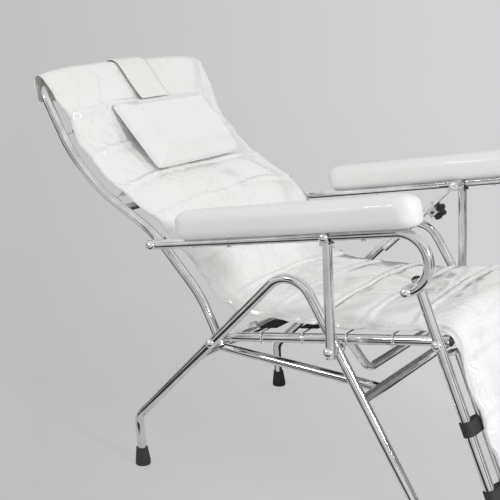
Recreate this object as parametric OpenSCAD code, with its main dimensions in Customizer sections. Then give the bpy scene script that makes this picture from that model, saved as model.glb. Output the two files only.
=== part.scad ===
// Reclining treatment chair: a bent steel tube frame with padded armrests, a quilted
// cushion hung over it, a neck pillow on a strap and a clamped strut that holds the recline.
// Millimetres. +X runs to the foot end, +Y to the sitter's left, +Z up, the floor is at zero.
// Side-view points are [x, z], counted along X from the pivot at the foot of the posts.

/* [Tubing] */
// Outer diameter of the frame tube
tube_od = 19; // [16:0.5:22]
// Wall of the frame tube
tube_wall = 1.5; // [1:0.1:2.5]
// Outer diameter of the bow under the seat
bow_od = 16; // [12:0.5:18]
// Side gap between two tubes that share a pivot
frame_gap = 2; // [1.8:0.1:4]
// How much fatter a tube is through its bends
bend_swell = 0.15; // [0.12:0.01:0.2]
// Gap at welded and seated joints
seat_fit = 0.1; // [0.05:0.01:0.2]

/* [Overall] */
// Distance between the centres of the two armrests
arm_spacing = 576; // [540:1:640]
// Gap between a side of the cushion and the lever tube beside it
pad_side_gap = 6.5; // [4:0.5:30]

/* [Legs] */
// Height of the point that the two straight leg runs aim at
apex_z = 524; // [500:1:560]
// How far that point lies behind the post pivot
apex_back = 97; // [80:1:120]
// Bend radius over the top of a leg
apex_r = 57; // [45:1:70]
// Height of the bends above the feet
shin_z = 110; // [90:1:140]
// How far the rear bend lies behind the post pivot
rear_bend_back = 490; // [440:1:540]
// How far the front bend lies ahead of the post pivot
front_bend_fwd = 174; // [150:1:200]
// How far a foot is drawn in under its bend
foot_draw = 8; // [0:1:20]
// Bend radius above a foot
shin_r = 35; // [25:1:50]
// Height of the stretchers and braces
stretcher_z = 288; // [260:1:300]
// How far a lengthwise brace lies inside its leg
brace_in = 69; // [57:1:77]

/* [Rubber feet] */
// Height of a rubber foot
foot_h = 38; // [36:1:60]
// Diameter at the floor
foot_d = 33; // [30:1:44]
// Diameter at its mouth
foot_mouth_d = 25; // [24:0.5:30]
// Rubber under the end of the tube
foot_sole = 8; // [5:0.5:12]

/* [Pivots] */
// How far the rear pivot lies behind the post pivot
rear_pivot_back = 286; // [260:1:310]
// How far the back's pivot on the armrest lies behind the post pivot
back_arm_back = 417; // [390:1:440]
// Height of that pivot
back_arm_z = 511; // [490:1:530]
// How far the top of a post leans behind its foot
post_top_back = 13; // [0:1:30]
// Height of the pivot at the top of a post
post_top_z = 590; // [570:1:610]
// How far the knee pivot lies ahead of the post pivot
knee_fwd = 191; // [170:1:210]
// Height of the knee pivot
knee_z = 419; // [400:1:440]
// Diameter of a pivot bolt
bolt_d = 6; // [5:0.5:8]
// Running clearance round a pivot bolt
bolt_fit = 0.1; // [0.05:0.01:0.3]
// Play of the bolts that take up the small play of the linkage
post_play = 3.2; // [3:0.1:4]
// Play at the front of the armrest
lever_play = 3.5; // [3.2:0.1:4]
// Play in the eye of the strut
eye_play = 4.3; // [4:0.1:5]
// Diameter of a bolt's domed cap
cap_d = 20; // [16:0.5:24]
// Height of a domed cap
cap_h = 7; // [5:0.5:10]
// Thickness of a washer
washer_t = 1.2; // [0.8:0.1:1.6]
// Diameter of a washer
washer_d = 24; // [20:0.5:28]

/* [Armrests] */
// From the post pivot to the start of the hook
hook_lead = 139; // [120:1:160]
// Radius of the hook at the front
hook_r = 51; // [40:1:60]
// Turn of the hook, in degrees
hook_turn = 175; // [160:1:180]
// How far a tube runs past its last pivot
tube_tail = 13; // [12:0.5:18]
// Length of an armrest pad
arm_pad_l = 525; // [440:1:540]
// Width of an armrest pad
arm_pad_w = 62; // [52:1:72]
// Height of an armrest pad
arm_pad_h = 51; // [40:1:60]
// How far a pad reaches behind the rear pivot's side
arm_pad_rear = 75; // [40:1:90]
// Thickness of the fork's cheeks at the top of a post
fork_t = 3; // [2:0.5:4]
// Width of the fork's cheeks
fork_w = 17; // [14:0.5:26]

/* [Back] */
// Bends of the back's side tube, as distance behind the post pivot and height
back_low_back = 328; // [310:1:345]
// Height of the low bend
back_low_z = 405; // [390:1:420]
// The bend at the armrest, behind the post pivot
back_mid_back = 431; // [422:1:440]
// Height of the bend at the armrest
back_mid_z = 527; // [518:1:536]
// The shoulder bend, behind the post pivot
back_high_back = 583; // [560:1:600]
// Height of the shoulder bend
back_high_z = 602; // [590:1:620]
// The neck bend, behind the post pivot
back_neck_back = 661; // [645:1:680]
// Height of the neck bend
back_neck_z = 672; // [655:1:690]
// The top bar, behind the post pivot
back_top_back = 745; // [730:1:760]
// Height of the top bar
back_top_z = 812; // [795:1:830]
// Bend radius at the two top corners
back_corner_r = 45; // [35:1:60]

/* [Leg rest] */
// Length of the leg rest's tube below the knee
legrest_l = 370; // [320:1:385]
// Bend radius at the bottom corners
legrest_corner_r = 45; // [35:1:60]
// Diameter of the carrier rod under the leg cushion
carrier_d = 10; // [8:0.5:12]
// Thickness of the bracket at the knee
bracket_t = 3; // [2:0.5:4]
// Length of a rubber clamp
clamp_l = 26; // [20:1:34]

/* [Seat] */
// Depth of the bow below the seat tubes
bow_drop = 71; // [50:1:74]
// How far the bow lies ahead of the post pivot
bow_fwd = 22; // [12:1:26]
// Bend radius of the bow
bow_r = 26; // [18:1:30]
// Width of an elastic strap
strap_w = 42; // [30:1:50]
// Thickness of an elastic strap
strap_t = 2.5; // [2:0.1:4]
// Number of elastic straps under the seat
strap_count = 4; // [3:1:5]

/* [Cushion] */
// Thickness of the cushion at its crown
pad_h = 50; // [36:1:60]
// Height of the cushion's underside over the tubes' centre line
pad_lift = 16; // [14.5:0.5:20]
// Distance between two sewn channels
channel_pitch = 107; // [80:1:130]
// How deep a channel sinks
channel_depth = 12; // [6:1:20]
// How far the sides draw in at a channel
channel_nip = 9; // [4:1:14]
// Length of the flap that hangs behind the top bar
flap_l = 42; // [20:1:60]
// Thickness of the flap
flap_h = 24; // [16:1:30]
// Thickness of the mat behind the cushion
mat_t = 2; // [1.5:0.1:3]
// Gap between an edge of the mat and the back's tube, for the springs
mat_gap = 52.5; // [42:0.5:68]

/* [Pillow] */
// Width of the neck pillow
pillow_w = 285; // [240:1:310]
// Height of the neck pillow along the back
pillow_l = 172; // [130:1:190]
// Thickness of the neck pillow
pillow_h = 38; // [30:1:56]
// Lean of the pillow, in degrees from the horizontal
pillow_tilt = 133; // [125:1:140]
// Place of its middle between the shoulder bend and the neck bend
pillow_share = 0.65; // [0.4:0.05:0.9]
// Gap to the cushion
pillow_gap = 0.5; // [0.3:0.1:1]
// Width of the sloping border
pillow_border = 30; // [20:1:40]
// Width of the strap
headstrap_w = 88; // [60:1:100]
// Thickness of the strap
headstrap_t = 1.6; // [1:0.1:2.5]

/* [Springs] */
// Mean diameter of a spring
spring_d = 9; // [8:0.5:12]
// Wire of a spring
spring_wire = 2; // [1.6:0.1:2.2]
// Distance from curl to curl
spring_pitch = 2.9; // [2.8:0.1:3.4]
// Curls in one spring
spring_curls = 6; // [4:1:7]

/* [Strut] */
// Outer diameter of the strut's sleeve
sleeve_d = 14; // [12:0.5:16]
// Diameter of the strut's rod
rod_d = 8; // [7:0.5:9]
// Clearance of the rod in its sleeve
rod_fit = 0.2; // [0.1:0.05:0.3]
// Place of the strut's pivot on the leg's bend, in degrees from the horizontal
strut_place = 96; // [90:1:104]
// Sleeve beyond its pivot, on the free side
sleeve_tail = 94; // [60:1:110]
// Sleeve on the clamp's side
sleeve_lead = 74; // [60:1:76]
// Rod from its eye to its inner end
rod_l = 172; // [150:1:180]
// Outer diameter of the clamp knob
knob_d = 40; // [34:1:44]
// Thickness of the clamp knob
knob_t = 14; // [10:1:16]
// Lobes of the clamp knob
knob_lobes = 6; // [5:1:8]

/* [Hidden] */
$fn = 48;

// How far a bend's section laps onto the straight run
bend_lap = 0.6;
// Overrun of a cut past a face
over = 1;
// Sampling of a bend in a side-view guide
guide_steps = 6;
// Points round a cushion's section
ring_points = 16;
// Exponents of a cushion's section
side_share = 0.5;
top_share = 0.75;
steel = [0.78, 0.79, 0.8];
black = [0.06, 0.06, 0.07];
vinyl = [0.93, 0.93, 0.92];

tube_r = tube_od / 2;
bend_r = tube_r + bend_swell;
bolt_r = bolt_d / 2;
frame_step = tube_od + frame_gap;
arm_y = arm_spacing / 2;
leg_y = arm_y - frame_step;
back_y = leg_y - frame_step;
seat_y = back_y - frame_step;
// Widths and places that follow the tubes
pad_w = 2 * (back_y - tube_r - pad_side_gap);
mat_w = 2 * (leg_y - tube_r - mat_gap);
brace_y = leg_y - brace_in;

// Shares and directions
function unit(v) = v / norm(v);
function dir(a) = [cos(a), sin(a)];
function left_of(v) = [-v[1], v[0]];
function angle_of(v) = atan2(v[1], v[0]);
function on_line(a, b, x) = [x, a[1] + (b[1] - a[1]) * (x - a[0]) / (b[0] - a[0])];
function on_line_z(a, b, z) = [a[0] + (b[0] - a[0]) * (z - a[1]) / (b[1] - a[1]), z];
function at_y(pts, y) = [for (p = pts) [p[0], y, p[1]]];

// Side view of the legs and the pivots
leg_apex = [-apex_back, apex_z];
rear_bend = [-rear_bend_back, shin_z];
front_bend = [front_bend_fwd, shin_z];
rear_foot = [foot_draw - rear_bend_back, foot_sole];
front_foot = [front_bend_fwd - foot_draw, foot_sole];
leg_points = [rear_foot, rear_bend, leg_apex, front_bend, front_foot];
leg_radii = [0, shin_r, apex_r, shin_r, 0];
post_pivot = on_line(leg_apex, front_bend, 0);
rear_pivot = on_line(rear_bend, leg_apex, -rear_pivot_back);
back_arm_pivot = [-back_arm_back, back_arm_z];
post_top = [-post_top_back, post_top_z];
knee = [knee_fwd, knee_z];
// The bend over the top of a leg
rear_run = unit(leg_apex - rear_bend);
front_run = unit(front_bend - leg_apex);
apex_half = acos(-(rear_run * front_run)) / 2;
apex_centre = leg_apex + unit(front_run - rear_run) * apex_r / sin(apex_half);
strut_pivot = apex_centre + apex_r * dir(strut_place);
strut_dir = unit(post_top - strut_pivot);

// The armrest: straight from the rear pivot through the post's top, then a hook
arm_dir = unit(post_top - back_arm_pivot);
arm_tilt = angle_of(arm_dir);
hook_start = post_top + arm_dir * hook_lead;
hook_centre = hook_start - left_of(arm_dir) * hook_r;
hook_end_angle = 90 + arm_tilt - hook_turn;
lever_top = hook_centre + hook_r * dir(hook_end_angle);
lever_dir = unit(knee - lever_top);
lever_tilt = angle_of(lever_dir);
seat_dir = unit(knee - rear_pivot);
seat_tilt = angle_of(seat_dir);

// The back's side tube
back_low = [-back_low_back, back_low_z];
back_mid = [-back_mid_back, back_mid_z];
back_high = [-back_high_back, back_high_z];
back_neck = [-back_neck_back, back_neck_z];
back_top = [-back_top_back, back_top_z];
back_foot_dir = unit(back_low - rear_pivot);
back_end = rear_pivot - back_foot_dir * tube_tail;
// Bend radii that run into each other along the back
back_foot_r = 300;
back_mid_r = 150;
back_high_r = 300;
back_neck_r = 280;
back_radii = [0, back_foot_r, back_mid_r, back_high_r, back_neck_r, back_corner_r];
neck_dir = unit(back_top - back_neck);

// Angle of a bend and the length of straight run that it takes
function bend_angle(p, i) = acos(max(-1, min(1, unit(p[i] - p[i - 1]) * unit(p[i + 1] - p[i]))));
function bend_trim(p, r, i) = (i == 0 || i == len(p) - 1) ? 0 : r[i] * tan(bend_angle(p, i) / 2);

module along(a, b) {
    d = b - a;
    translate(a)
        rotate([0, acos(d[2] / norm(d)), atan2(d[1], d[0])])
            children();
}

// A round bar along a bent path: straight runs and true arcs
module bar_path(p, r, radius, ends = 0) {
    last = len(p) - 1;
    for (i = [0:last - 1]) {
        run = unit(p[i + 1] - p[i]);
        a = p[i] + run * (bend_trim(p, r, i) - (i == 0 ? ends : 0));
        b = p[i + 1] - run * (bend_trim(p, r, i + 1) - (i == last - 1 ? ends : 0));
        along(a, b)
            cylinder(h = norm(b - a), r = radius);
    }
    if (last > 1)
        for (i = [1:last - 1]) {
            u = unit(p[i] - p[i - 1]);
            w = unit(p[i + 1] - p[i]);
            start = p[i] - u * bend_trim(p, r, i);
            centre = start + r[i] * unit(w - u * (u * w));
            lap = bend_lap / r[i] * 180 / PI;
            x = unit(start - centre);
            z = unit(cross(x, u));
            y = cross(z, x);
            multmatrix([[x[0], y[0], z[0], centre[0]], [x[1], y[1], z[1], centre[1]],
                [x[2], y[2], z[2], centre[2]], [0, 0, 0, 1]])
                rotate([0, 0, -lap])
                    rotate_extrude(angle = bend_angle(p, i) + 2 * lap)
                        translate([r[i], 0])
                            circle(r = radius + bend_swell);
        }
}

module tube_path(p, r, od = tube_od, wall = tube_wall) {
    difference() {
        bar_path(p, r, od / 2);
        bar_path(p, r, od / 2 - wall, over);
    }
}

// A cylinder across the chair, from y0 to y1, at a side-view point
module cross_bar(at, y0, y1, radius) {
    translate([at[0], min(y0, y1), at[1]])
        rotate([-90, 0, 0])
            cylinder(h = abs(y1 - y0), r = radius);
}

module bolt_hole(at, y, radius) {
    cross_bar(at, y - tube_od, y + tube_od, radius);
}

// A domed cap whose flat side sits at y and whose dome points along side
module dome_cap(at, y, side, d = cap_d, h = cap_h) {
    ball_r = (d * d / 4 + h * h) / (2 * h);
    translate([at[0], y, at[1]])
        rotate([-90 * side, 0, 0])
            intersection() {
                translate([0, 0, h - ball_r])
                    sphere(r = ball_r);
                cylinder(h = h + over, r = d / 2);
            }
}

// A bolt with a domed cap at both ends; side is +1 on the left of the chair
module pivot_bolt(at, outer, inner, side, radius = bolt_r) {
    cross_bar(at, side * inner, side * outer, radius);
    dome_cap(at, side * outer, side);
    dome_cap(at, side * inner, -side, cap_d - frame_gap, cap_h / 2);
}

module washer(at, y0, y1, hole, d = washer_d) {
    difference() {
        cross_bar(at, y0, y1, d / 2);
        cross_bar(at, min(y0, y1) - over, max(y0, y1) + over, hole);
    }
}

// A plug in the open end of a tube; run points out of the tube
module end_plug(at, run, d = tube_od, wall = tube_wall) {
    spigot = d / 2 - wall - seat_fit;
    along(at + run * seat_fit, at + run * (seat_fit + over)) {
        intersection() {
            cylinder(h = d / 4, r = d / 2);
            translate([0, 0, d / 4 - d * 0.625])
                sphere(r = d * 0.625);
        }
        translate([0, 0, -d / 3])
            cylinder(h = d / 3 + over / 2, r = spigot);
    }
}

module placed() {
    translate([shift_x, 0, 0])
        children();
}

module sided(side) {
    scale([1, side, 1])
        children();
}

// Base

module leg(side) {
    color(steel)
        placed()
            difference() {
                tube_path(at_y(leg_points, side * leg_y), leg_radii);
                bolt_hole(rear_pivot, side * leg_y, bolt_r + bolt_fit);
                bolt_hole(post_pivot, side * leg_y, bolt_r + post_play);
                if (side > 0)
                    bolt_hole(strut_pivot, leg_y, bolt_r + bolt_fit);
            }
}

// A crosswise tube between the legs, its ends coped round them
module stretcher(at, run_a, run_b) {
    color(steel)
        placed()
            difference() {
                tube_path([[at[0], -leg_y, at[1]], [at[0], leg_y, at[1]]], [0, 0]);
                for (side = [-1, 1])
                    bar_path(at_y([run_a, run_b], side * leg_y), [0, 0], tube_r + seat_fit);
            }
}

rear_bar = on_line_z(rear_bend, leg_apex, stretcher_z);
front_bar = on_line_z(leg_apex, front_bend, stretcher_z);

module rear_stretcher() {
    stretcher(rear_bar, rear_bend, leg_apex);
}

module front_stretcher() {
    stretcher(front_bar, leg_apex, front_bend);
}

module brace(side) {
    y = side * brace_y;
    color(steel)
        placed()
            difference() {
                tube_path(at_y([rear_bar, front_bar], y), [0, 0]);
                for (bar = [rear_bar, front_bar])
                    bolt_hole(bar, y, tube_r + seat_fit);
            }
}

// One bolt a side carries the leg, the back and the seat
module rear_pivot_bolts() {
    color(steel)
        placed()
            for (side = [-1, 1])
                pivot_bolt(rear_pivot, leg_y + tube_r + seat_fit, seat_y - tube_r - seat_fit * 3, side);
}

module rubber_foot(foot, bend, side) {
    run = unit(bend - foot);
    mouth = [foot[0], foot_sole] + run * (foot_h - foot_sole);
    color(black)
        placed()
            difference() {
                union() {
                    hull() {
                        translate([foot[0], side * leg_y, 0])
                            cylinder(h = foot_sole, r = foot_d / 2, $fn = 32);
                        translate([mouth[0], side * leg_y, foot_h - foot_sole])
                            cylinder(h = foot_sole, r = foot_mouth_d / 2, $fn = 32);
                    }
                }
                bar_path(at_y([foot, foot + run * foot_h * 2], side * leg_y), [0, 0], bend_r + seat_fit);
            }
}

lug_t = 2.6;

// The short boss on the left leg's bend that carries the strut
module strut_lug() {
    color(steel)
        placed()
            difference() {
                cross_bar(strut_pivot, leg_y - bend_r - seat_fit, leg_y - tube_r - lug_t, cap_d / 2);
                bolt_hole(strut_pivot, leg_y, bolt_r + bolt_fit);
            }
}

// Seat

seat_rear_end = rear_pivot - seat_dir * tube_tail;
seat_front_end = knee + seat_dir * tube_tail;

module seat_tube(side) {
    color(steel)
        placed()
            difference() {
                tube_path(at_y([seat_rear_end, seat_front_end], side * seat_y), [0, 0]);
                bolt_hole(rear_pivot, side * seat_y, bolt_r + bolt_fit);
                bolt_hole(knee, side * seat_y, bolt_r + bolt_fit);
            }
}

bow_top = on_line(rear_pivot, knee, 0);
bow_low = [bow_fwd, on_line(rear_pivot, knee, bow_fwd)[1] - bow_drop];
bow_half = seat_y - frame_step * 2;

// The cross member of the seat frame dips, clear of the sitter
module seat_bow() {
    color(steel)
        placed()
            difference() {
                tube_path([[bow_top[0], -seat_y, bow_top[1]], [bow_low[0], -bow_half, bow_low[1]],
                    [bow_low[0], bow_half, bow_low[1]], [bow_top[0], seat_y, bow_top[1]]],
                    [0, bow_r, bow_r, 0], bow_od, tube_wall);
                for (side = [-1, 1])
                    bar_path(at_y([seat_rear_end, seat_front_end], side * seat_y), [0, 0],
                        tube_r + seat_fit);
            }
}

hook_gap = 0.6;
strap_pitch = norm(knee - rear_pivot) / (strap_count + 1);
function strap_point(i) = rear_pivot + seat_dir * strap_pitch * (i + 1);
strap_half = seat_y - tube_od;
hook_wire = 3;
// The straps lie just under the cushion
soft_gap = 0.3;
strap_lift = pad_lift - strap_t / 2 - soft_gap;

module seat_straps() {
    color(black)
        placed()
            for (i = [0:strap_count - 1])
                translate([strap_point(i)[0], 0, strap_point(i)[1]])
                    rotate([0, -seat_tilt, 0])
                        translate([0, 0, strap_lift])
                            cube([strap_w, 2 * strap_half, strap_t], center = true);
}

// A wire hook from under each strap's end, over the seat tube and down its outer side
module seat_strap_hooks() {
    reach = tube_r + hook_gap + hook_wire / 2;
    color(steel)
        placed()
            for (i = [0:strap_count - 1], side = [-1, 1])
                translate([strap_point(i)[0], 0, strap_point(i)[1]])
                    rotate([0, -seat_tilt, 0])
                        bar_path([[0, side * (strap_half - strap_w / 3), reach],
                            [0, side * (seat_y + reach), reach],
                            [0, side * (seat_y + reach), -tube_r]], [0, reach - over, 0], hook_wire / 2);
}

module knee_bolts() {
    color(steel)
        placed()
            for (side = [-1, 1])
                pivot_bolt(knee, back_y + tube_r + seat_fit * 3, seat_y - tube_r - seat_fit, side);
}

module seat_end_plugs() {
    color(black)
        placed()
            for (side = [-1, 1]) {
                end_plug([seat_rear_end[0], side * seat_y, seat_rear_end[1]],
                    [-seat_dir[0], 0, -seat_dir[1]]);
                end_plug([seat_front_end[0], side * seat_y, seat_front_end[1]],
                    [seat_dir[0], 0, seat_dir[1]]);
            }
}

// Cushions: a guide is a list of [x, z, direction], the cushion stands on its right side

function guide_bend(p, r, i) = let (
        u = unit(p[i] - p[i - 1]),
        w = unit(p[i + 1] - p[i]),
        turn = angle_of([u * w, left_of(u) * w]),
        start = p[i] - u * r[i] * tan(abs(turn) / 2),
        centre = start + left_of(u) * sign(turn) * r[i])
    [for (k = [0:guide_steps]) let (a = angle_of(u) + turn * k / guide_steps)
        concat(centre - left_of(dir(a)) * sign(turn) * r[i], [a])];
function guide_line(p, r) = concat(
    [concat(p[0], [angle_of(p[1] - p[0])])],
    len(p) > 2 ? [for (i = [1:len(p) - 2]) each guide_bend(p, r, i)] : [],
    [concat(p[len(p) - 1], [angle_of(p[len(p) - 1] - p[len(p) - 2])])]);
function lifted(g, h) = [for (q = g) [q[0] + sin(q[2]) * h, q[1] - cos(q[2]) * h, q[2]]];
// An arc round a centre, with the cushion on its outside
function guide_roll(centre, radius, a0, turn, steps) = [for (k = [1:steps])
    let (a = a0 + turn * k / steps)
    [centre[0] + sin(a) * radius, centre[1] - cos(a) * radius, a]];
function running(g, i = 0, s = 0) = i == len(g) ? [] :
    let (t = i == 0 ? 0 : s + norm([g[i][0] - g[i - 1][0], g[i][1] - g[i - 1][1]]))
    concat([t], running(g, i + 1, t));
function guide_at(g, s, t) = [for (k = [0:2]) lookup(t, [for (i = [0:len(g) - 1]) [s[i], g[i][k]]])];

function signed_pow(v, e) = sign(v) * pow(abs(v), e);
function ring(q, half_w, h) = [for (k = [0:ring_points - 1]) let (
        a = 360 * k / ring_points,
        across = half_w * signed_pow(cos(a), side_share),
        up = h / 2 * (1 + signed_pow(sin(a), top_share)))
    [q[0] + sin(q[2]) * up, across, q[1] - cos(q[2]) * up]];
// 0 at a channel, 1 halfway between two
function puff(s, pitch) = pow(abs(sin(180 * s / pitch)), 0.5);
channel_shares = [0, 0.1, 0.3, 0.7, 0.9];
end_ring_shares = [0.06, 0.3];
// Places of the rings: at each channel and beside it, and close together at both ends
function ring_places(total, h, pitch, phase) = concat(
    [0],
    [for (share = end_ring_shares) share * h],
    [for (k = [-1:floor(total / pitch)], share = channel_shares)
        let (t = phase + (k + share) * pitch)
        if (t > h * 0.4 && t < total - h * 0.4) t],
    [for (i = [len(end_ring_shares) - 1:-1:0]) total - end_ring_shares[i] * h],
    [total]);
// Rings of a cushion: thin is the share of thickness left at its first and last end, flare how
// much wider it is at its last end
function cushion(g, half_w, h, pitch, phase, thin, flare) = let (
        s = running(g),
        total = s[len(s) - 1],
        first = thin[0],
        last = thin[1])
    [for (t = ring_places(total, h, pitch, phase)) let (
            p = puff(t - phase, pitch),
            wide = flare * pow(max(0, 1 - (total - t) / flare_l), 2),
            ease = min(1, first + (1 - first) * sqrt(t / h), last + (1 - last) * sqrt((total - t) / h)))
        ring(guide_at(g, s, t), half_w + wide - channel_nip * (1 - p), (h - channel_depth * (1 - p)) * ease)];

module loft(rings) {
    n = len(rings[0]);
    last = len(rings) - 1;
    polyhedron(
        points = [for (r = rings) each r],
        faces = concat(
            [for (i = [0:last - 1], k = [0:n - 1]) [i * n + k, i * n + (k + 1) % n, (i + 1) * n + k]],
            [for (i = [0:last - 1], k = [0:n - 1])
                [i * n + (k + 1) % n, (i + 1) * n + (k + 1) % n, (i + 1) * n + k]],
            [for (k = [1:n - 2]) [0, k + 1, k]],
            [for (k = [1:n - 2]) [last * n, last * n + k, last * n + k + 1]]));
}

// Back cushion: up the side tube, over the top bar and down behind it
back_spine = [rear_pivot, back_low, back_mid, back_high, back_neck, back_top];
back_guide_all = guide_line(back_spine, back_radii);
back_start_share = 0.78;
back_guide = concat(
    [let (q = back_guide_all[0], b = back_guide_all[1])
        [q[0] + (b[0] - q[0]) * back_start_share, q[1] + (b[1] - q[1]) * back_start_share, q[2]]],
    [for (i = [1:len(back_guide_all) - 1]) back_guide_all[i]]);
roll_turn = 168;
flare_l = 150;
neck_tilt = angle_of(neck_dir);
flap_dir = dir(neck_tilt + roll_turn);
roll_guide = guide_roll(back_top, pad_lift, neck_tilt, roll_turn, guide_steps);
roll_last = roll_guide[guide_steps - 1];
back_face_guide = lifted(back_guide, pad_lift);
flap_guide = [[roll_last[0] + flap_dir[0] * flap_l, roll_last[1] + flap_dir[1] * flap_l, roll_last[2]]];
roll_steps = 6;
back_face_s = running(back_face_guide);
back_face_l = back_face_s[len(back_face_s) - 1];
// The last channel lies this far below the roll
roll_to_channel = 93;
back_pitch = 108.5;
back_phase = back_face_l - roll_to_channel - 5 * back_pitch;
// The roll is as wide as the frame and covers its top corners
roll_half = back_y + tube_r - soft_gap;
roll_share = flap_h / (pad_h - channel_depth);
face_rings = cushion(back_face_guide, pad_w / 2, pad_h, back_pitch, back_phase, [0.3, roll_share],
    roll_half - pad_w / 2);
roll_whole = concat([back_face_guide[len(back_face_guide) - 1]], roll_guide, flap_guide);
roll_s = running(roll_whole);
back_rings = concat(face_rings, [for (k = [1:roll_steps]) let (
        t = roll_s[len(roll_s) - 1] * k / roll_steps)
    ring(guide_at(roll_whole, roll_s, t), roll_half, flap_h)]);

module back_pad() {
    color(vinyl)
        placed()
            loft(back_rings);
}

// Seat cushion: level at the crease, down onto the tubes and round the knee
crease_lift = 56;
crease_fwd = 27;
seat_crease = [rear_pivot[0] + crease_fwd, rear_pivot[1] + crease_lift];
seat_settle = [0, on_line(rear_pivot, knee, 0)[1] + pad_lift];
knee_over = knee + pad_lift * left_of(seat_dir);
seat_face = [seat_crease, seat_settle, knee_over];
seat_roll_turn = -39;
seat_settle_r = 200;
// The cushion stands on the left of a guide that runs forward, so it is run backward
seat_forward = concat(guide_line(seat_face, [0, seat_settle_r, 0]),
    [for (k = [1:guide_steps]) let (a = seat_tilt + seat_roll_turn * k / guide_steps)
        concat(knee + pad_lift * left_of(dir(a)), [a])]);
function backward(g) = [for (i = [len(g) - 1:-1:0]) [g[i][0], g[i][1], g[i][2] + 180]];
seat_pitch = 101.5;
seat_phase = 65.8;
seat_rings = cushion(backward(seat_forward), pad_w / 2, pad_h, seat_pitch, seat_phase, [1, 0.3], 0);

module seat_pad() {
    color(vinyl)
        placed()
            loft(seat_rings);
}

// Leg cushion: starts past the knee, far enough off to swing up
leg_pad_start = 14;
leg_pad_end = 18;
leg_end = knee + lever_dir * legrest_l;
leg_guide = concat(
    [for (k = [guide_steps:-1:1]) let (a = lever_tilt + leg_pad_start * k / guide_steps)
        concat(knee + pad_lift * left_of(dir(a)), [a])],
    [concat(knee + pad_lift * left_of(lever_dir), [lever_tilt]),
        concat(leg_end + lever_dir * leg_pad_end + pad_lift * left_of(lever_dir), [lever_tilt])]);
legrest_phase = 36.5;
legrest_rings = cushion(backward(leg_guide), pad_w / 2, pad_h, channel_pitch, legrest_phase, [0.55, 1], 0);

module legrest_pad() {
    color(vinyl)
        placed()
            loft(legrest_rings);
}

// Back frame: one tube up a side, across the top and down the other side

function back_side(side) = [
    [back_end[0], side * back_y, back_end[1]],
    [back_low[0], side * back_y, back_low[1]],
    [back_mid[0], side * leg_y, back_mid[1]],
    [back_high[0], side * leg_y, back_high[1]],
    [back_neck[0], side * leg_y, back_neck[1]],
    [back_top[0], side * leg_y, back_top[1]]];
// Where the slanting run meets the armrest's pivot
arm_pivot_share = (back_arm_back - back_low_back) / (back_mid_back - back_low_back);
back_arm_y = back_y + (leg_y - back_y) * arm_pivot_share;

module back_frame() {
    right = back_side(-1);
    left = back_side(1);
    path = concat(right, [for (i = [len(left) - 1:-1:0]) left[i]]);
    radii = concat(back_radii, [for (i = [len(back_radii) - 1:-1:0]) back_radii[i]]);
    color(steel)
        placed()
            difference() {
                tube_path(path, radii);
                for (side = [-1, 1]) {
                    bolt_hole(rear_pivot, side * back_y, bolt_r + bolt_fit);
                    bolt_hole(back_arm_pivot, side * back_arm_y, bolt_r + bolt_fit);
                }
            }
}

cross_share = 0.55;
back_cross_at = back_mid + (back_high - back_mid) * cross_share;

module back_cross_bar() {
    color(steel)
        placed()
            difference() {
                tube_path([[back_cross_at[0], -leg_y, back_cross_at[1]],
                    [back_cross_at[0], leg_y, back_cross_at[1]]], [0, 0], bow_od, tube_wall);
                for (side = [-1, 1])
                    bar_path(at_y([back_mid, back_high], side * leg_y), [0, 0], tube_r + seat_fit);
            }
}

mat_lift = pad_lift - mat_t - seat_fit * 10;
mat_guide = [for (i = [2:len(back_guide) - 2]) back_guide[i]];

// The mat that the cushion lies on, hung from the side tubes by springs
module back_mat() {
    under = lifted(mat_guide, mat_lift);
    upper = lifted(mat_guide, mat_lift + mat_t);
    last = len(under) - 1;
    color(black)
        placed()
            rotate([90, 0, 0])
                translate([0, 0, -mat_w / 2])
                    linear_extrude(height = mat_w)
                        polygon(concat([for (q = under) [q[0], q[1]]],
                            [for (i = [last:-1:0]) [upper[i][0], upper[i][1]]]));
}

// A spring from a to b: a straight run, the curls, a straight run, as one tube
function spring_line(a, b) = let (
        run = unit(b - a),
        side = unit(cross(run, abs(run[2]) > 0.9 ? [0, 1, 0] : [0, 0, 1])),
        up = cross(run, side),
        coil = spring_curls * spring_pitch,
        rest = (norm(b - a) - coil) / 2,
        rings = 8 * spring_curls,
        r = spring_d / 2)
    concat([a, a + run * (rest - spring_wire)],
        [for (k = [0:rings]) let (t = 360 * spring_curls * k / rings)
            a + run * (rest + coil * k / rings) + r * (cos(t) * side + sin(t) * up)],
        [b - run * (rest - spring_wire), b]);
spring_sides = 6;
function tube_rings(line, radius) = let (last = len(line) - 1, axis = unit(line[last] - line[0]))
    [for (i = [0:last]) let (
            t = unit(line[min(last, i + 1)] - line[max(0, i - 1)]),
            side = unit(cross(t, unit(axis + [0.11, 0.23, 0.31]))),
            up = cross(t, side))
        [for (k = [0:spring_sides - 1]) let (a = -360 * k / spring_sides)
            line[i] + radius * (cos(a) * side + sin(a) * up)]];
function least_gap(line, skip) = min([for (i = [0:len(line) - 1]) for (j = [i + skip:len(line) - 1])
    if (j < len(line)) norm(line[i] - line[j])]) - spring_wire;

back_spring_share = 0.24;
back_anchor_gap = 0.6;
spring_runs = [[back_neck, back_top], [back_high, back_mid]];
function back_spring(side, run) = let (
        q = run[0] + (run[1] - run[0]) * back_spring_share,
        away = unit(run[1] - run[0]),
        n = away[1] > 0 ? -left_of(away) : left_of(away),
        edge = q + (mat_lift + mat_t / 2) * n)
    spring_line([edge[0], side * (mat_w / 2 + back_anchor_gap), edge[1]],
        [q[0], side * (leg_y - tube_r - back_anchor_gap), q[1]]);
echo(least_gap_in_a_back_spring = least_gap(back_spring(-1, spring_runs[0]), 6));

module back_springs() {
    color(steel)
        placed()
            for (side = [-1, 1], run = spring_runs)
                loft(tube_rings(back_spring(side, run), spring_wire / 2));
}

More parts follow.
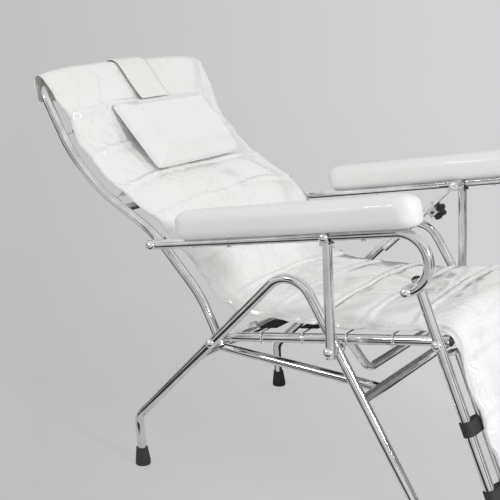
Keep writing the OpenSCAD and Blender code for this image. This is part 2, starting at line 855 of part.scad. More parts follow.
// Springs from the seat tubes' rear ends to the rear corners of the seat cushion
spring_foot_fwd = 26;
spring_head_fwd = 108;
spring_foot_x = rear_pivot[0] + spring_foot_fwd;
spring_head_x = rear_pivot[0] + spring_head_fwd;
spring_head_in = 14;
spring_reach = soft_gap + spring_wire / 2;
seat_spring_from = [spring_foot_x, seat_y,
    on_line(rear_pivot, knee, spring_foot_x)[1] + (tube_r + spring_reach) / cos(seat_tilt)];
seat_spring_to = [spring_head_x, pad_w / 2 - spring_head_in,
    on_line(seat_crease, seat_settle, spring_head_x)[1] - spring_reach];

module seat_springs() {
    color(steel)
        placed()
            for (side = [-1, 1])
                loft(tube_rings(spring_line([seat_spring_from[0], side * seat_spring_from[1],
                    seat_spring_from[2]], [seat_spring_to[0], side * seat_spring_to[1],
                    seat_spring_to[2]]), spring_wire / 2));
}

module back_end_plugs() {
    color(black)
        placed()
            for (side = [-1, 1])
                end_plug([back_end[0], side * back_y, back_end[1]],
                    [-back_foot_dir[0], 0, -back_foot_dir[1]]);
}

// The bolts between the back and the armrests, with a spacer that fills the slant
module back_arm_bolts() {
    color(steel)
        placed()
            for (side = [-1, 1]) {
                pivot_bolt(back_arm_pivot, arm_y + tube_r + seat_fit * 3,
                    back_arm_y - tube_r - frame_gap, side);
                washer(back_arm_pivot, side * (back_arm_y + tube_r + seat_fit * 12),
                    side * (arm_y - tube_r - seat_fit * 3), bolt_r + seat_fit, cap_d);
            }
}

// Neck pillow and its strap

// The pillow lies on the highest points of the cushion under it
pillow_normal = [sin(pillow_tilt), -cos(pillow_tilt)];
pillow_foot = back_high + (back_neck - back_high) * pillow_share;
function under_pillow(p) = let (d = [p[0], p[2]] - pillow_foot)
    abs(d * dir(pillow_tilt)) < pillow_l / 2 ? d * pillow_normal : 0;
pillow_rest = max([for (r = back_rings) max([for (p = r) under_pillow(p)])]) + pillow_gap;

// Rings of the pillow run from its back face to its front face
module headrest_pillow() {
    corner = pillow_border * 0.8;
    inset_shares = [0.35, 0, 0, 0.25, 0.9, 1.15];
    rise_shares = [0, 0.15, 0.5, 0.72, 0.93, 0.86];
    steps = 5;
    function outline(inset, z) = let (
            w = pillow_w / 2 - inset,
            l = pillow_l / 2 - inset,
            c = max(corner - inset, corner * 0.2))
        [for (q = [0:3], k = [0:steps]) let (
                a = 90 * q + 90 * k / steps,
                sx = (q == 0 || q == 3) ? 1 : -1,
                sy = q < 2 ? 1 : -1)
            [sx * (l - c) + c * cos(a), sy * (w - c) + c * sin(a), z]];
    color(vinyl)
        placed()
            translate([pillow_foot[0], 0, pillow_foot[1]])
                rotate([0, -pillow_tilt, 0])
                    translate([0, 0, -pillow_rest])
                        rotate([180, 0, 0])
                            loft([for (i = [0:len(inset_shares) - 1])
                                outline(pillow_border * inset_shares[i], pillow_h * rise_shares[i])]);
}

// The strap rises from the pillow's top edge, passes over the roll and ends behind it
strap_gap = 0.8;
strap_height_share = 0.3;
strap_start = pillow_foot + dir(pillow_tilt) * (pillow_l / 2 + pillow_gap)
    + pillow_normal * (pillow_rest + pillow_h * strap_height_share);
strap_first = len([for (t = ring_places(back_face_l, pad_h, back_pitch, back_phase))
    if (t < back_face_l - back_pitch / 2) t]);
function crest(r) = let (top = r[ring_points / 4], foot = r[ring_points * 3 / 4],
        n = unit([top[0] - foot[0], top[2] - foot[2]]))
    [top[0] + n[0] * strap_gap, top[2] + n[1] * strap_gap, atan2(n[0], -n[1])];
strap_line = concat([concat(strap_start, [neck_tilt])],
    [for (i = [strap_first:len(back_rings) - 2]) crest(back_rings[i])]);

module headrest_strap() {
    outer = lifted(strap_line, headstrap_t);
    last = len(strap_line) - 1;
    color(vinyl)
        placed()
            rotate([90, 0, 0])
                translate([0, 0, -headstrap_w / 2])
                    linear_extrude(height = headstrap_w)
                        polygon(concat([for (q = strap_line) [q[0], q[1]]],
                            [for (i = [last:-1:0]) [outer[i][0], outer[i][1]]]));
}

// The origin lies under the middle of the chair's length
rear_reach = min(min([for (r = back_rings) for (p = r) p[0]]),
    min([for (q = lifted(strap_line, headstrap_t)) q[0]]));
front_reach = max([for (r = legrest_rings) for (p = r) p[0]]);
shift_x = -(rear_reach + front_reach) / 2;

// Armrests

arm_rear_end = back_arm_pivot - arm_dir * tube_tail;

module armrest_tube(side) {
    y = side * arm_y;
    color(steel)
        placed()
            difference() {
                hooked(y, tube_r, 0);
                hooked(y, tube_r - tube_wall, over);
                bolt_hole(back_arm_pivot, y, bolt_r + bolt_fit);
                bolt_hole(post_top, y, bolt_r + bolt_fit);
                bolt_hole(lever_top, y, bolt_r + seat_fit);
                for (at = arm_screw_points)
                    translate([at[0], y, at[1]])
                        rotate([0, -arm_tilt, 0])
                            cylinder(h = tube_od * 2, r = screw_d / 2 + seat_fit, center = true);
            }
}

// The straight run and the hook as a solid bar; ends is how far it runs on at both ends
module hooked(y, radius, ends) {
    lap = bend_lap / hook_r * 180 / PI;
    tail = (tube_tail / 2 + ends) / hook_r * 180 / PI;
    a = arm_rear_end - arm_dir * ends;
    bar_path(at_y([a, hook_start], y), [0, 0], radius);
    translate([hook_centre[0], y, hook_centre[1]])
        rotate([90, 0, 0])
            rotate([0, 0, hook_end_angle - tail])
                rotate_extrude(angle = hook_turn + lap + tail)
                    translate([hook_r, 0])
                        circle(r = radius + bend_swell);
}

screw_d = 5;
screw_head_d = 9;
// How far the two screws lie ahead of the back's pivot
screw_rear_at = 190.5;
screw_front_at = 484.5;
arm_pad_start = back_arm_pivot + arm_dir * arm_pad_rear;
arm_screw_points = [for (s = [screw_rear_at, screw_front_at]) back_arm_pivot + arm_dir * s];

// A long pad with round ends; each ring is a rounded section across it
module armrest_pad(side) {
    end_shares = [0, 0.012, 0.04, 0.09, 0.2, 0.5, 0.8, 0.91, 0.96, 0.988, 1];
    fullness_shares = [0.45, 0.72, 0.88, 0.97, 1, 1, 1, 0.97, 0.88, 0.72, 0.45];
    base = tube_r + seat_fit * 3;
    color(vinyl)
        placed()
            translate([arm_pad_start[0], side * arm_y, arm_pad_start[1]])
                rotate([0, -arm_tilt, 0])
                    difference() {
                        loft([for (i = [0:len(end_shares) - 1]) let (f = fullness_shares[i])
                            [for (k = [0:ring_points - 1]) let (a = 360 * k / ring_points)
                                [arm_pad_l * end_shares[i],
                                    arm_pad_w / 2 * f * signed_pow(cos(a), side_share),
                                    base + arm_pad_h * (f + 1) / 4
                                        * (1 + signed_pow(sin(a), side_share) * (f + 3) / 4)
                                        + arm_pad_h * (1 - f) / 4]]]);
                    }
}

module armrest_screws(side) {
    color(steel)
        placed()
            for (at = arm_screw_points)
                translate([at[0], side * arm_y, at[1]])
                    rotate([0, -arm_tilt, 0]) {
                        translate([0, 0, -tube_r - seat_fit])
                            cylinder(h = tube_od + seat_fit * 3, r = screw_d / 2);
                        translate([0, 0, -tube_r - seat_fit - screw_d / 2])
                            cylinder(h = screw_d / 2, r = screw_head_d / 2);
                    }
}

fork_gap = 0.6;
fork_in = tube_r + fork_gap;
fork_out = fork_in + fork_t;
eye_t = 5;
eye_neck = washer_d / 2 + eye_play + frame_gap;
strut_y = back_y;
eye_gap = 0.5;

// Bolts of one armrest: through the post's fork, and at the front through the lever's top
module armrest_bolts(side) {
    inner = side > 0 ? strut_y - eye_t / 2 - eye_gap - washer_t : arm_y - fork_out - seat_fit * 3;
    color(steel)
        placed() {
            pivot_bolt(post_top, arm_y + fork_out + seat_fit * 3, inner, side);
            if (side > 0) {
                washer(post_top, arm_y - fork_out - seat_fit * 3,
                    strut_y + eye_t / 2 + eye_gap, bolt_r + seat_fit, cap_d);
                washer(post_top, strut_y - eye_t / 2 - eye_gap,
                    strut_y - eye_t / 2 - eye_gap - washer_t + seat_fit, bolt_r + seat_fit);
            }
            pivot_bolt(lever_top, arm_y + bend_r + seat_fit, back_y - tube_r - washer_t - seat_fit * 4, side);
            washer(lever_top, side * (arm_y - bend_r - seat_fit),
                side * (back_y + tube_r + seat_fit * 4), bolt_r + seat_fit, cap_d);
            washer(lever_top, side * (back_y - tube_r - seat_fit * 4),
                side * (back_y - tube_r - washer_t - seat_fit * 3), bolt_r + seat_fit, cap_d + frame_gap);
        }
}

module armrest_plug(side) {
    color(black)
        placed()
            end_plug([arm_rear_end[0], side * arm_y, arm_rear_end[1]], [-arm_dir[0], 0, -arm_dir[1]]);
}

// Posts

post_dir = unit(post_top - post_pivot);
post_tilt = angle_of(post_dir);
post_low_end = post_pivot - post_dir * tube_tail;
fork_floor = tube_r + frame_gap * 2;
post_high_end = post_top - post_dir * (fork_floor + fork_t / 2);

module post(side) {
    y = side * arm_y;
    color(steel)
        placed() {
            difference() {
                tube_path(at_y([post_low_end, post_high_end], y), [0, 0]);
                bolt_hole(post_pivot, y, bolt_r + seat_fit);
            }
            translate([post_top[0], y, post_top[1]])
                rotate([0, 90 - post_tilt, 0])
                    difference() {
                        union() {
                            translate([-fork_w / 2, -fork_out, -fork_floor - fork_t])
                                cube([fork_w, 2 * fork_out, fork_floor + fork_t]);
                            rotate([90, 0, 0])
                                cylinder(h = 2 * fork_out, r = fork_w / 2, center = true);
                        }
                        translate([-fork_w, -fork_in, -fork_floor])
                            cube([2 * fork_w, 2 * fork_in, fork_floor + fork_w]);
                        rotate([90, 0, 0])
                            cylinder(h = 2 * fork_out + over, r = bolt_r + bolt_fit, center = true);
                    }
        }
}

module post_bolt(side) {
    inner = leg_y - tube_r - washer_t - seat_fit * 4;
    color(steel)
        placed() {
            pivot_bolt(post_pivot, arm_y + tube_r + seat_fit, inner, side);
            washer(post_pivot, side * (arm_y - tube_r - seat_fit),
                side * (leg_y + tube_r + seat_fit * 4), bolt_r + seat_fit);
            washer(post_pivot, side * (leg_y - tube_r - seat_fit * 4),
                side * (inner + seat_fit), bolt_r + seat_fit);
        }
}

// Leg rest

lever_end = lever_top - lever_dir * tube_tail;
carrier_lift = pad_lift - carrier_d / 2 - soft_gap;
carrier_y = seat_y - tube_r;
carrier_start = 26;

// One tube: from the armrest past the knee, across the bottom and up the other side
module legrest_frame() {
    path = [[lever_end[0], -back_y, lever_end[1]], [leg_end[0], -back_y, leg_end[1]],
        [leg_end[0], back_y, leg_end[1]], [lever_end[0], back_y, lever_end[1]]];
    color(steel)
        placed()
            difference() {
                tube_path(path, [0, legrest_corner_r, legrest_corner_r, 0]);
                for (side = [-1, 1]) {
                    bolt_hole(knee, side * back_y, bolt_r + bolt_fit);
                    bolt_hole(lever_top, side * back_y, bolt_r + lever_play);
                }
            }
}

function lever_point(s, lift) = knee + lever_dir * s + left_of(lever_dir) * lift;

// The rod frame that carries the leg cushion, inside the side tubes
module legrest_carrier() {
    a = lever_point(carrier_start, carrier_lift);
    b = lever_point(legrest_l - tube_od - carrier_d / 2, carrier_lift);
    color(steel)
        placed()
            bar_path([[a[0], -carrier_y, a[1]], [b[0], -carrier_y, b[1]], [b[0], carrier_y, b[1]],
                [a[0], carrier_y, a[1]]], [0, legrest_corner_r, legrest_corner_r, 0], carrier_d / 2);
}

// A drilled plate from each side tube to the carrier's upper end
module legrest_brackets() {
    s0 = carrier_start - bracket_t * 2 - seat_fit;
    width = back_y - tube_r - seat_fit - carrier_y + carrier_d;
    color(steel)
        placed()
            for (side = [-1, 1])
                translate([lever_point(s0, 0)[0], 0, lever_point(s0, 0)[1]])
                    rotate([0, 90 - lever_tilt, 0])
                        sided(side)
                            difference() {
                                translate([-carrier_lift - carrier_d / 2, carrier_y - carrier_d,
                                    0])
                                    cube([carrier_lift + carrier_d, width, bracket_t * 2]);
                                translate([-carrier_lift, carrier_y + carrier_d, -over])
                                    cylinder(h = bracket_t * 2 + 2 * over, r = bracket_t);
                            }
}

clamp_shares = [0.38, 0.72];
clamp_wall = 3;

// Rubber clamps that tie the carrier to the side tubes
module legrest_clamps() {
    color(black)
        placed()
            for (share = clamp_shares, side = [-1, 1]) {
                a = lever_point(legrest_l * share, 0);
                b = lever_point(legrest_l * share, carrier_lift);
                c = lever_point(legrest_l * share, carrier_lift - clamp_wall * 1.5);
                difference() {
                    hull() {
                        along([a[0], side * back_y, a[1]],
                            [a[0] + lever_dir[0], side * back_y, a[1] + lever_dir[1]])
                            cylinder(h = clamp_l, r = tube_r + clamp_wall, $fn = 32);
                        along([c[0], side * carrier_y, c[1]],
                            [c[0] + lever_dir[0], side * carrier_y, c[1] + lever_dir[1]])
                            cylinder(h = clamp_l, r = carrier_d / 2 + clamp_wall, $fn = 32);
                    }
                    along([a[0], side * back_y, a[1]],
                        [a[0] + lever_dir[0], side * back_y, a[1] + lever_dir[1]])
                        translate([0, 0, -over])
                            cylinder(h = clamp_l + 2 * over, r = tube_r + seat_fit);
                    along([b[0], side * carrier_y, b[1]],
                        [b[0] + lever_dir[0], side * carrier_y, b[1] + lever_dir[1]])
                        translate([0, 0, -over])
                            cylinder(h = clamp_l + 2 * over, r = carrier_d / 2 + seat_fit);
                }
            }
}

module legrest_end_plugs() {
    color(black)
        placed()
            for (side = [-1, 1])
                end_plug([lever_end[0], side * back_y, lever_end[1]], [-lever_dir[0], 0, -lever_dir[1]]);
}

// Strut: a sleeve that turns on the leg, a rod that slides in it, a clamp and its knob

strut_tilt = angle_of(strut_dir);
strut_l = norm(post_top - strut_pivot);
clamp_drop = 10;
clamp_size = 22;
clamp_block_t = 18;
knob_at = 63;
knob_bolt_d = 6;

module in_strut() {
    translate([strut_pivot[0], strut_y, strut_pivot[1]])
        rotate([0, -strut_tilt, 0])
            children();
}

module strut_sleeve() {
    color(steel)
        placed()
            in_strut() {
                difference() {
                    translate([-sleeve_tail, 0, 0])
                        rotate([0, 90, 0])
                            cylinder(h = sleeve_tail + sleeve_lead, r = sleeve_d / 2);
                    translate([-sleeve_tail - over, 0, 0])
                        rotate([0, 90, 0])
                            cylinder(h = sleeve_tail + sleeve_lead + 2 * over, r = rod_d / 2 + rod_fit);
                    translate([knob_at - clamp_size / 2 - seat_fit, -sleeve_d, -sleeve_d])
                        cube([clamp_size + 2 * seat_fit, 2 * sleeve_d, sleeve_d - rod_d / 2]);
                }
            }
}

// The stub that turns in the leg's bend
module strut_stub() {
    color(steel)
        placed() {
            cross_bar(strut_pivot, strut_y + sleeve_d / 2 + seat_fit, leg_y + bend_r + seat_fit, bolt_r);
            dome_cap(strut_pivot, leg_y + bend_r + seat_fit, 1);
        }
}

// The block under the sleeve that pinches the rod
module strut_clamp() {
    color(steel)
        placed()
            in_strut()
                difference() {
                    translate([knob_at - clamp_size / 2, -clamp_block_t / 2, -clamp_drop - clamp_size / 2])
                        cube([clamp_size, clamp_block_t, clamp_size / 2 + clamp_drop - rod_d / 2 - rod_fit]);
                    translate([knob_at, 0, -clamp_drop - knob_bolt_d / 2])
                        rotate([90, 0, 0])
                            cylinder(h = clamp_block_t * 2, r = knob_bolt_d / 2 + bolt_fit, center = true);
                    translate([-sleeve_tail, 0, 0])
                        rotate([0, 90, 0])
                            cylinder(h = sleeve_tail * 3, r = sleeve_d / 2 + seat_fit);
                }
}

module strut_rod() {
    color(steel)
        placed()
            in_strut()
                difference() {
                    union() {
                        translate([strut_l - rod_l, 0, 0])
                            rotate([0, 90, 0])
                                cylinder(h = rod_l - eye_neck, r = rod_d / 2);
                        translate([strut_l - eye_neck - over, -eye_t / 2, -rod_d / 2])
                            cube([eye_neck + over - bolt_r - eye_play - over, eye_t, rod_d]);
                        translate([strut_l, 0, 0])
                            rotate([90, 0, 0])
                                cylinder(h = eye_t, r = bolt_r + eye_play + bracket_t, center = true);
                    }
                    translate([strut_l, 0, 0])
                        rotate([90, 0, 0])
                            cylinder(h = rod_d * 2, r = bolt_r + eye_play, center = true);
                }
}

// A lobed knob on the outer side of the clamp, on its own bolt
module clamp_knob() {
    y0 = clamp_block_t / 2 + seat_fit * 3;
    lobe_r = knob_d / 6.2;
    color(black)
        placed()
            in_strut()
                translate([knob_at, 0, -clamp_drop - knob_bolt_d / 2]) {
                    rotate([-90, 0, 0])
                        translate([0, 0, y0]) {
                            cylinder(h = knob_t, r = knob_d / 2 - lobe_r * 0.75);
                            cylinder(h = knob_t + bracket_t, r = knob_d / 4);
                            for (k = [0:knob_lobes - 1])
                                rotate([0, 0, 360 / knob_lobes * k])
                                    translate([knob_d / 2 - lobe_r, 0, 0])
                                        cylinder(h = knob_t, r = lobe_r);
                        }
                    rotate([-90, 0, 0])
                        translate([0, 0, -clamp_block_t / 2 - knob_bolt_d / 2])
                            cylinder(h = clamp_block_t + knob_bolt_d, r = knob_bolt_d / 2);
                }
}

echo(shift_x = shift_x, pillow_rest = pillow_rest, back_pitch = back_pitch, strap_first = strap_first, rear_pivot = rear_pivot, post_pivot = post_pivot, lever_top = lever_top,
    strut_pivot = strut_pivot, strut_dir = strut_dir, neck_dir = neck_dir);

leg(-1);  // leg_right
leg(1);  // leg_left
rear_stretcher();
front_stretcher();
brace(-1);  // brace_right
brace(1);  // brace_left
rear_pivot_bolts();
rubber_foot(rear_foot, rear_bend, -1);  // foot_rear_right
rubber_foot(rear_foot, rear_bend, 1);  // foot_rear_left
rubber_foot(front_foot, front_bend, -1);  // foot_front_right
rubber_foot(front_foot, front_bend, 1);  // foot_front_left
strut_lug();
seat_tube(-1);  // seat_tube_right
seat_tube(1);  // seat_tube_left
seat_bow();
seat_straps();
seat_strap_hooks();
seat_springs();
seat_pad();
knee_bolts();
seat_end_plugs();
back_frame();
back_cross_bar();
back_mat();
back_springs();
back_pad();
back_end_plugs();
back_arm_bolts();
headrest_pillow();
headrest_strap();
armrest_tube(-1);  // armrest_tube_right
armrest_pad(-1);  // armrest_pad_right
armrest_screws(-1);  // armrest_screws_right
armrest_bolts(-1);  // armrest_bolts_right
armrest_plug(-1);  // armrest_plug_right
armrest_tube(1);  // armrest_tube_left
armrest_pad(1);  // armrest_pad_left
armrest_screws(1);  // armrest_screws_left
armrest_bolts(1);  // armrest_bolts_left
armrest_plug(1);  // armrest_plug_left
post(-1);  // post_right
post_bolt(-1);  // post_bolt_right
post(1);  // post_left
post_bolt(1);  // post_bolt_left
legrest_frame();
legrest_carrier();
legrest_brackets();
legrest_clamps();
legrest_pad();
legrest_end_plugs();
strut_sleeve();
strut_stub();
strut_clamp();
strut_rod();
clamp_knob();
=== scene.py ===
# Reclining treatment chair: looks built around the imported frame.
import math

import bpy
import numpy as np
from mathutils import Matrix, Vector, noise


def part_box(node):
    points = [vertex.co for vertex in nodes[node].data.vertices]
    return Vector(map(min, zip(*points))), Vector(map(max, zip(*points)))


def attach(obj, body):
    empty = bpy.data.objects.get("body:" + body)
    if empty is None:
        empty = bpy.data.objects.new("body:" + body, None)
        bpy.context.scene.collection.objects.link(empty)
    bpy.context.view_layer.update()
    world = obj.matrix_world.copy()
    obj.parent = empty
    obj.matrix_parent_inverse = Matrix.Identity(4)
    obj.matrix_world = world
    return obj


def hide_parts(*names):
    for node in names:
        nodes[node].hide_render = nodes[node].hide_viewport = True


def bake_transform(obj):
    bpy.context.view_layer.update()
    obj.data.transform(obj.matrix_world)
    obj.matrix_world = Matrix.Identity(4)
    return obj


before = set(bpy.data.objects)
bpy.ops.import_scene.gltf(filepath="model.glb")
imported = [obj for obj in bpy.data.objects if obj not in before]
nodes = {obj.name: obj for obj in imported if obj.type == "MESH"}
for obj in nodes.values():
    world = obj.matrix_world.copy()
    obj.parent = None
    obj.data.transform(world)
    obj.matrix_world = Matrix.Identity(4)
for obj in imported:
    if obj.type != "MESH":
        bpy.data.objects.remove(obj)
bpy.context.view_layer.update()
pivotLow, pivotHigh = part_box("rear_pivot_bolts")
pivotX = (pivotLow[0] + pivotHigh[0]) / 2
print("frame loaded:", len(nodes), "nodes")

shot = {
    "fromPivot": (1.146473, -1.743319, 1.032686),  # from the rear pivot, on the floor
    "azimuth": 35.5392,  # degrees round the chair
    "elevation": 15.46,
    "lens": 71.648,
    "sensor": 36.0,
    "clip": (0.05, 200),
}


def addObject(name, data):
    made = bpy.data.objects.new(name, data)
    bpy.context.scene.collection.objects.link(made)
    return made


def pointAlong(thing, way):
    thing.rotation_mode = "QUATERNION"
    thing.rotation_quaternion = way.to_track_quat("-Z", "Y")


def standPoint(shot):
    return Vector(shot["fromPivot"]) + Vector((pivotX, 0, 0))


def aimCamera(shot):
    data = bpy.data.cameras.new("view")
    data.lens, data.sensor_width = shot["lens"], shot["sensor"]
    data.clip_start, data.clip_end = shot["clip"]
    camera = addObject("view", data)
    a, e = math.radians(shot["azimuth"]), math.radians(shot["elevation"])
    pointAlong(camera, Vector((-math.sin(a) * math.cos(e), math.cos(a) * math.cos(e), -math.sin(e))))
    camera.location = standPoint(shot)
    bpy.context.scene.camera = camera


aimCamera(shot)
bpy.context.scene.view_settings.view_transform = "Standard"


# Small helpers for the shader nodes
def addNode(tree, kind, wires=None, **settings):
    node = tree.nodes.new(kind)
    for name, value in settings.items():
        setattr(node, name, value)
    for name, value in (wires or {}).items():
        if isinstance(value, bpy.types.NodeSocket):
            tree.links.new(value, node.inputs[name])
        else:
            node.inputs[name].default_value = value
    return node


def addNoise(tree, where, scale, detail, rough=0.5, twist=0.0):
    wires = {"Vector": where, "Scale": scale, "Detail": detail, "Roughness": rough, "Distortion": twist}
    return addNode(tree, "ShaderNodeTexNoise", wires)


def addMath(tree, operation, *values):
    return addNode(tree, "ShaderNodeMath", dict(enumerate(values)), operation=operation).outputs[0]


def addVectorMath(tree, operation, *values, out="Vector"):
    node = addNode(tree, "ShaderNodeVectorMath", dict(enumerate(values)), operation=operation)
    return node.outputs[out]


def addRange(tree, value, source=(0.0, 1.0), target=(0.0, 1.0)):
    wires = {"Value": value, "From Min": source[0], "From Max": source[1]}
    wires.update({"To Min": target[0], "To Max": target[1]})
    return addNode(tree, "ShaderNodeMapRange", wires).outputs[0]


def addRamp(tree, factor, stops):
    ramp = addNode(tree, "ShaderNodeValToRGB", {"Fac": factor})
    parts = ramp.color_ramp.elements
    while len(parts) < len(stops):
        parts.new(0.5)
    for part, (at, value) in zip(parts, stops):
        part.position = at
        part.color = (value, value, value, 1)
    return ramp.outputs["Color"]


def stretched(tree, where, scale):
    return addNode(tree, "ShaderNodeMapping", {"Vector": where, "Scale": scale}).outputs[0]


def placePoints(tree, scale=(1, 1, 1)):
    return stretched(tree, addNode(tree, "ShaderNodeTexCoord").outputs["Object"], scale)


def mixColour(tree, factor, a, b):
    node = addNode(tree, "ShaderNodeMix", {"Factor": factor}, data_type="RGBA")
    for key, value in (("A", a), ("B", b)):
        node.inputs[key].default_value = (*value, 1)
    return node.outputs["Result"]


def newMaterial(name, **sockets):
    made = bpy.data.materials.new(name)
    made.use_nodes = True
    tree = made.node_tree
    shader = tree.nodes["Principled BSDF"]
    for key, value in sockets.items():
        shader.inputs[key.replace("_", " ")].default_value = value
    return made, tree, shader


studio = {
    "sky": [  # height of the look direction, brightness
        (0.00, 0.78),
        (0.30, 0.82),
        (0.36, 0.30),
        (0.44, 0.32),
        (0.50, 0.86),
        (1.00, 0.70),
    ],
    "lamps": [  # place, size, power in watts, aim
        ((3.3, -0.9, 1.9), 0.4, 50, (-0.1, 0, 0.5)),
        ((-1.8, -2.8, 2.2), 0.35, 11, (0, 0, 0.5)),
    ],
    "cards": [  # dark cards that only shiny things mirror: azimuth, distance, width, height
        (-70, 2.2, 1.1, 0.9),
        (-25, 2.9, 0.5, 1.3),
        (5, 2.8, 0.35, 1.2),
        (75, 2.4, 0.5, 0.9),
        (118, 2.3, 0.7, 1.0),
        (165, 2.2, 1.0, 0.7),
        (205, 2.1, 0.6, 0.6),
        (245, 2.2, 0.9, 0.7),
    ],
    "darkFloor": [(-0.1, -0.7, 1.9, 0.5), (-0.2, 0.55, 1.7, 0.7)],  # middle x, y, length, width
    "darkLift": 0.004,
    "felt": {"Base_Color": (0.02, 0.02, 0.02, 1), "Roughness": 0.95},
}

floorPaper = {
    "size": 90,
    "pale": 0.62,  # for the light that it throws back
    "rough": 0.9,
    "mottle": (0.4, 3.0),  # scale and detail of its faint cloudiness
    "mottleTone": 0.97,
    "paintedLightLeftToRight": [(0.28, 0.53), (0.74, 0.68)],  # painted light: the glow in the picture, darker on the left, lighter on the right
    "sideSpan": (-0.5, 0.5),
    # painted light: the glow grows a little lighter with distance
    "paintedLightNearToFar": [(0.0, 0.99), (1.0, 1.05)],
    "depthSpan": (1.8, 9.0),  # metres from the camera
    "shadowShare": 0.22,
}


def lightWorld(sky):
    world = bpy.data.worlds.new("studio")
    bpy.context.scene.world = world
    world.use_nodes = True
    tree = world.node_tree
    tree.nodes.clear()
    spot = addNode(tree, "ShaderNodeTexCoord")
    parts = addNode(tree, "ShaderNodeSeparateXYZ", {"Vector": spot.outputs["Generated"]})
    tone = addRamp(tree, parts.outputs["Z"], sky)
    glow = addNode(tree, "ShaderNodeBackground", {"Color": tone, "Strength": 1.0})
    out = addNode(tree, "ShaderNodeOutputWorld")
    tree.links.new(glow.outputs[0], out.inputs["Surface"])


def hangLamps(lamps):
    for k, (place, size, power, aim) in enumerate(lamps):
        data = bpy.data.lights.new(f"lamp{k}", "AREA")
        data.energy, data.size = power, size
        lamp = addObject(f"lamp{k}", data)
        lamp.location = place
        pointAlong(lamp, Vector(aim) - Vector(place))


def addSheet(name, corners, material):
    mesh = bpy.data.meshes.new(name)
    mesh.from_pydata(corners, [], [(0, 1, 2, 3)])
    mesh.materials.append(material)
    return addObject(name, mesh)


def paperMaterial(p, shot):
    made, tree, shader = newMaterial("floorPaper", Roughness=p["rough"])
    where = placePoints(tree)
    mottle = addNoise(tree, where, *p["mottle"])
    worn = mixColour(tree, mottle.outputs["Fac"], (1, 1, 1), (p["mottleTone"],) * 3)
    tree.links.new(addVectorMath(tree, "MULTIPLY", worn, (p["pale"],) * 3), shader.inputs["Base Color"])
    # painted light: the glow is darker to the left and a little darker near the camera, by the direction
    # and distance from where the camera stands
    stand = standPoint(shot)
    a = math.radians(shot["azimuth"])
    away = addVectorMath(tree, "SUBTRACT", where, (stand[0], stand[1], 0))
    flat = addVectorMath(tree, "NORMALIZE", away)
    right = addVectorMath(tree, "DOT_PRODUCT", flat, (math.cos(a), math.sin(a), 0), out="Value")
    reach = addVectorMath(tree, "LENGTH", away, out="Value")
    across = addRamp(tree, addRange(tree, right, p["sideSpan"]), p["paintedLightLeftToRight"])
    depth = addRamp(tree, addRange(tree, reach, p["depthSpan"]), p["paintedLightNearToFar"])
    tone = addVectorMath(tree, "MULTIPLY", across, depth)
    light = addNode(tree, "ShaderNodeEmission", {"Color": tone, "Strength": 1.0})
    # only what the camera and shiny things see glows
    rays = addNode(tree, "ShaderNodeLightPath").outputs
    seen = addMath(tree, "MAXIMUM", rays["Is Camera Ray"], rays["Is Glossy Ray"])
    seen = addMath(tree, "MAXIMUM", seen, rays["Is Transmission Ray"])
    share = addMath(tree, "MULTIPLY", seen, 1 - p["shadowShare"])
    both = addNode(tree, "ShaderNodeMixShader", {0: share, 1: shader.outputs[0], 2: light.outputs[0]})
    tree.links.new(both.outputs[0], tree.nodes["Material Output"].inputs["Surface"])
    return made


def layFloor(p, shot):
    half = p["size"] / 2
    corners = [(-half, -half, 0), (half, -half, 0), (half, half, 0), (-half, half, 0)]
    floor = addSheet("floor", corners, paperMaterial(p, shot))


def addCard(name, corners, felt):
    card = addSheet(name, corners, felt)
    card.visible_camera = card.visible_diffuse = card.visible_shadow = False


def standCards(studio):
    felt = newMaterial("cardFelt", **studio["felt"])[0]
    for k, (azimuth, distance, width, height) in enumerate(studio["cards"]):
        a = math.radians(azimuth)
        side = Vector((math.cos(a), math.sin(a), 0)) * width / 2
        low, up = Vector((math.sin(a), -math.cos(a), 0)) * distance, Vector((0, 0, height))
        addCard(f"card{k}", [low - side, low + side, low + side + up, low - side + up], felt)
    turns = ((-1, -1), (1, -1), (1, 1), (-1, 1))
    for k, (x, y, length, width) in enumerate(studio["darkFloor"]):
        corners = [(x + i * length / 2, y + j * width / 2, studio["darkLift"]) for i, j in turns]
        addCard(f"floorCard{k}", corners, felt)


lightWorld(studio["sky"])
hangLamps(studio["lamps"])
layFloor(floorPaper, shot)
standCards(studio)
print("studio set")


def bumpOn(tree, shader, layers):
    below = None
    for height, strength, distance in layers:
        wires = {"Height": height, "Strength": strength, "Distance": distance}
        if below is not None:
            wires["Normal"] = below
        below = addNode(tree, "ShaderNodeBump", wires).outputs["Normal"]
    tree.links.new(below, shader.inputs["Normal"])


steel = {
    "cloud": (26.0, 4.0, 0.6),  # scale, detail, roughness of the tone's drift
    "cloudTone": [(0.3, 0.0), (0.7, 1.0)],
    "polishLines": (260, 40, 260),
    "polish": (4.0, 3.0),
    "glossSpread": (0.7, 1.6),  # least and most, as shares of the roughness
    "polishBump": (0.12, 0.0002),  # strength, metres
    "cloudBump": (0.05, 0.0006),
}


def steelMaterial(name, rough, dark, light):
    made, tree, shader = newMaterial(name, Metallic=1.0)
    cloud = addNoise(tree, placePoints(tree), *steel["cloud"]).outputs["Fac"]
    polish = addNoise(tree, placePoints(tree, steel["polishLines"]), *steel["polish"]).outputs["Fac"]
    colour = mixColour(tree, addRamp(tree, cloud, steel["cloudTone"]), dark, light)
    tree.links.new(colour, shader.inputs["Base Color"])
    gloss = addRange(tree, polish, target=[rough * k for k in steel["glossSpread"]])
    tree.links.new(gloss, shader.inputs["Roughness"])
    bumpOn(tree, shader, [(polish, *steel["polishBump"]), (cloud, *steel["cloudBump"])])
    return made


